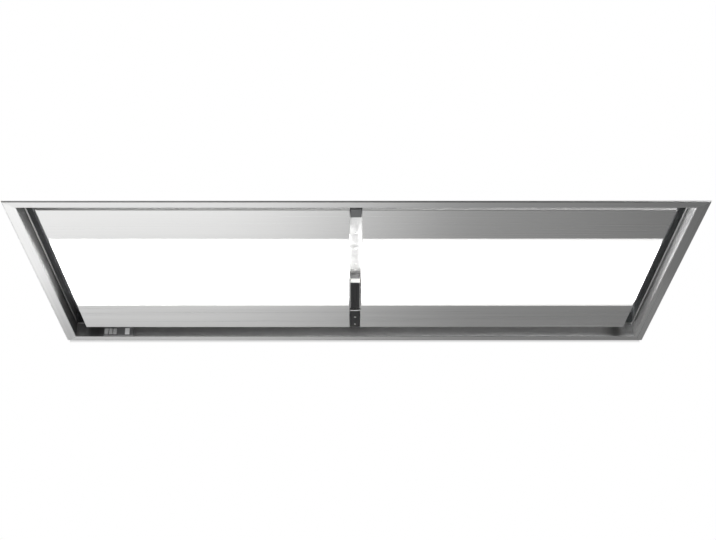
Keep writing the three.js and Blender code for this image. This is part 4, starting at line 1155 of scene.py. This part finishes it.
APRON = [(-3.4, 0.08), (-1.0, 0.10), (0.0, 0.12), (0.8, 0.25), (1.4, 0.60), (2.3, 1.0)]
FRONT_LEVELS = [(-1.5, 0.36), (0, 0.2), (1.5, 0.06)]
PEAK = 2.0


def across(tree, xyz, levels):
    return graded(tree, xyz["X"], [(x, level / PEAK) for x, level in levels])


def wall_level(tree, xyz):
    level = across(tree, xyz, NEAR_LEVELS)
    for start, end, levels in ((NEAR_Z, FAR_Z, FAR_LEVELS), (FAR_Z, HIGH_Z, HIGH_LEVELS)):
        rise = spread(tree, xyz["Z"], 0, 1, start, end)
        level = blended(tree, rise, level, across(tree, xyz, levels))
    return level


def apron_level(tree, xyz):
    fall = graded(tree, xyz["Y"], APRON)
    return blended(tree, 1.0, across(tree, xyz, NEAR_LEVELS), fall, "MULTIPLY")


def front_level(tree, xyz):
    return graded(tree, xyz["X"], FRONT_LEVELS)


def cards():
    """Boards that only reflections see: bright at the left, falling off to the right."""
    reach, near, far, low = 4, -3.4, 2.3, -1.94
    for name, x, start, end, level, strength in (
        ("graded_wall", reach, (far, low), (far, -0.02), wall_level, PEAK),
        ("graded_apron", reach, (near, low), (far, low), apron_level, PEAK),
        ("dark_card", reach + 1, (near, low), (near, 2.2), front_level, 1.0),
    ):
        corners = [(-x, *start), (x, *start), (x, *end), (-x, *end)]
        card = board(name, corners, [(0, 1, 2, 3)], glowing(name, level, strength))
        settle(card, visible_camera=False, visible_diffuse=False)
        settle(card, visible_shadow=False, visible_transmission=False)


def area_light(name, location, target, size, power):
    data = bpy.data.lights.new(name, "AREA")
    settle(data, shape="RECTANGLE", size=size, size_y=size, energy=power)
    aim = Vector(target) - Vector(location)
    facing = aim.to_track_quat("-Z", "Y").to_euler()
    settle(linked(name, data), location=location, rotation_euler=facing)


WORLD_LIGHT, WORLD_SEEN = 0.55, 1.0


def studio():
    """An even light that the camera, metal and glass see as white."""
    world = bpy.data.worlds.new("studio")
    bpy.context.scene.world = world
    world.use_nodes = True
    tree = world.node_tree
    tree.nodes.clear()
    rays = node(tree, "LightPath").outputs
    mirrored = maths(tree, "MAXIMUM", rays["Is Glossy Ray"], rays["Is Transmission Ray"])
    seen = maths(tree, "MAXIMUM", rays["Is Camera Ray"], mirrored)
    strength = spread(tree, seen, WORLD_LIGHT, WORLD_SEEN, 0, 1)
    sky = node(tree, "Background", {"Color": WHITE, "Strength": strength})
    node(tree, "OutputWorld", {0: sky.outputs[0]})


cards()
area_light("key_below", (-2.7, 0.25, -1.25), (-2.3, 0.22, -0.25), 1.0, 105)
area_light("fill_below", (1.7, -1.9, -1.35), (1.45, -1.5, -0.35), 1.0, 15)
area_light("key_above", (-1.8, -2.0, 2.8), (0, 0, 0.1), 4.0, 75)
area_light("fill_above", (2.4, 1.8, 2.2), (0, 0, 0.1), 3.2, 26)
studio()

# --- camera

PHOTO_WIDTH = 716.0
FOCAL_PIXELS, SHIFT_PIXELS = 1339.0, 9.61
SENSOR = 36.0
TILT = 25.873  # degrees above the horizon

camera_data = bpy.data.cameras.new("camera")
camera_data.sensor_width = SENSOR
camera_data.lens = FOCAL_PIXELS * SENSOR / PHOTO_WIDTH
camera_data.shift_x = SHIFT_PIXELS / PHOTO_WIDTH
camera_data.clip_start = 0.05
camera_data.clip_end = 400.0
camera = linked("camera", camera_data)
camera.location = (-0.01555, -2.66158, -1.27268)
camera.rotation_euler = (radians(90 + TILT), 0, 0)
bpy.context.scene.camera = camera

bpy.context.scene.view_settings.view_transform = "Standard"

bpy.context.view_layer.update()
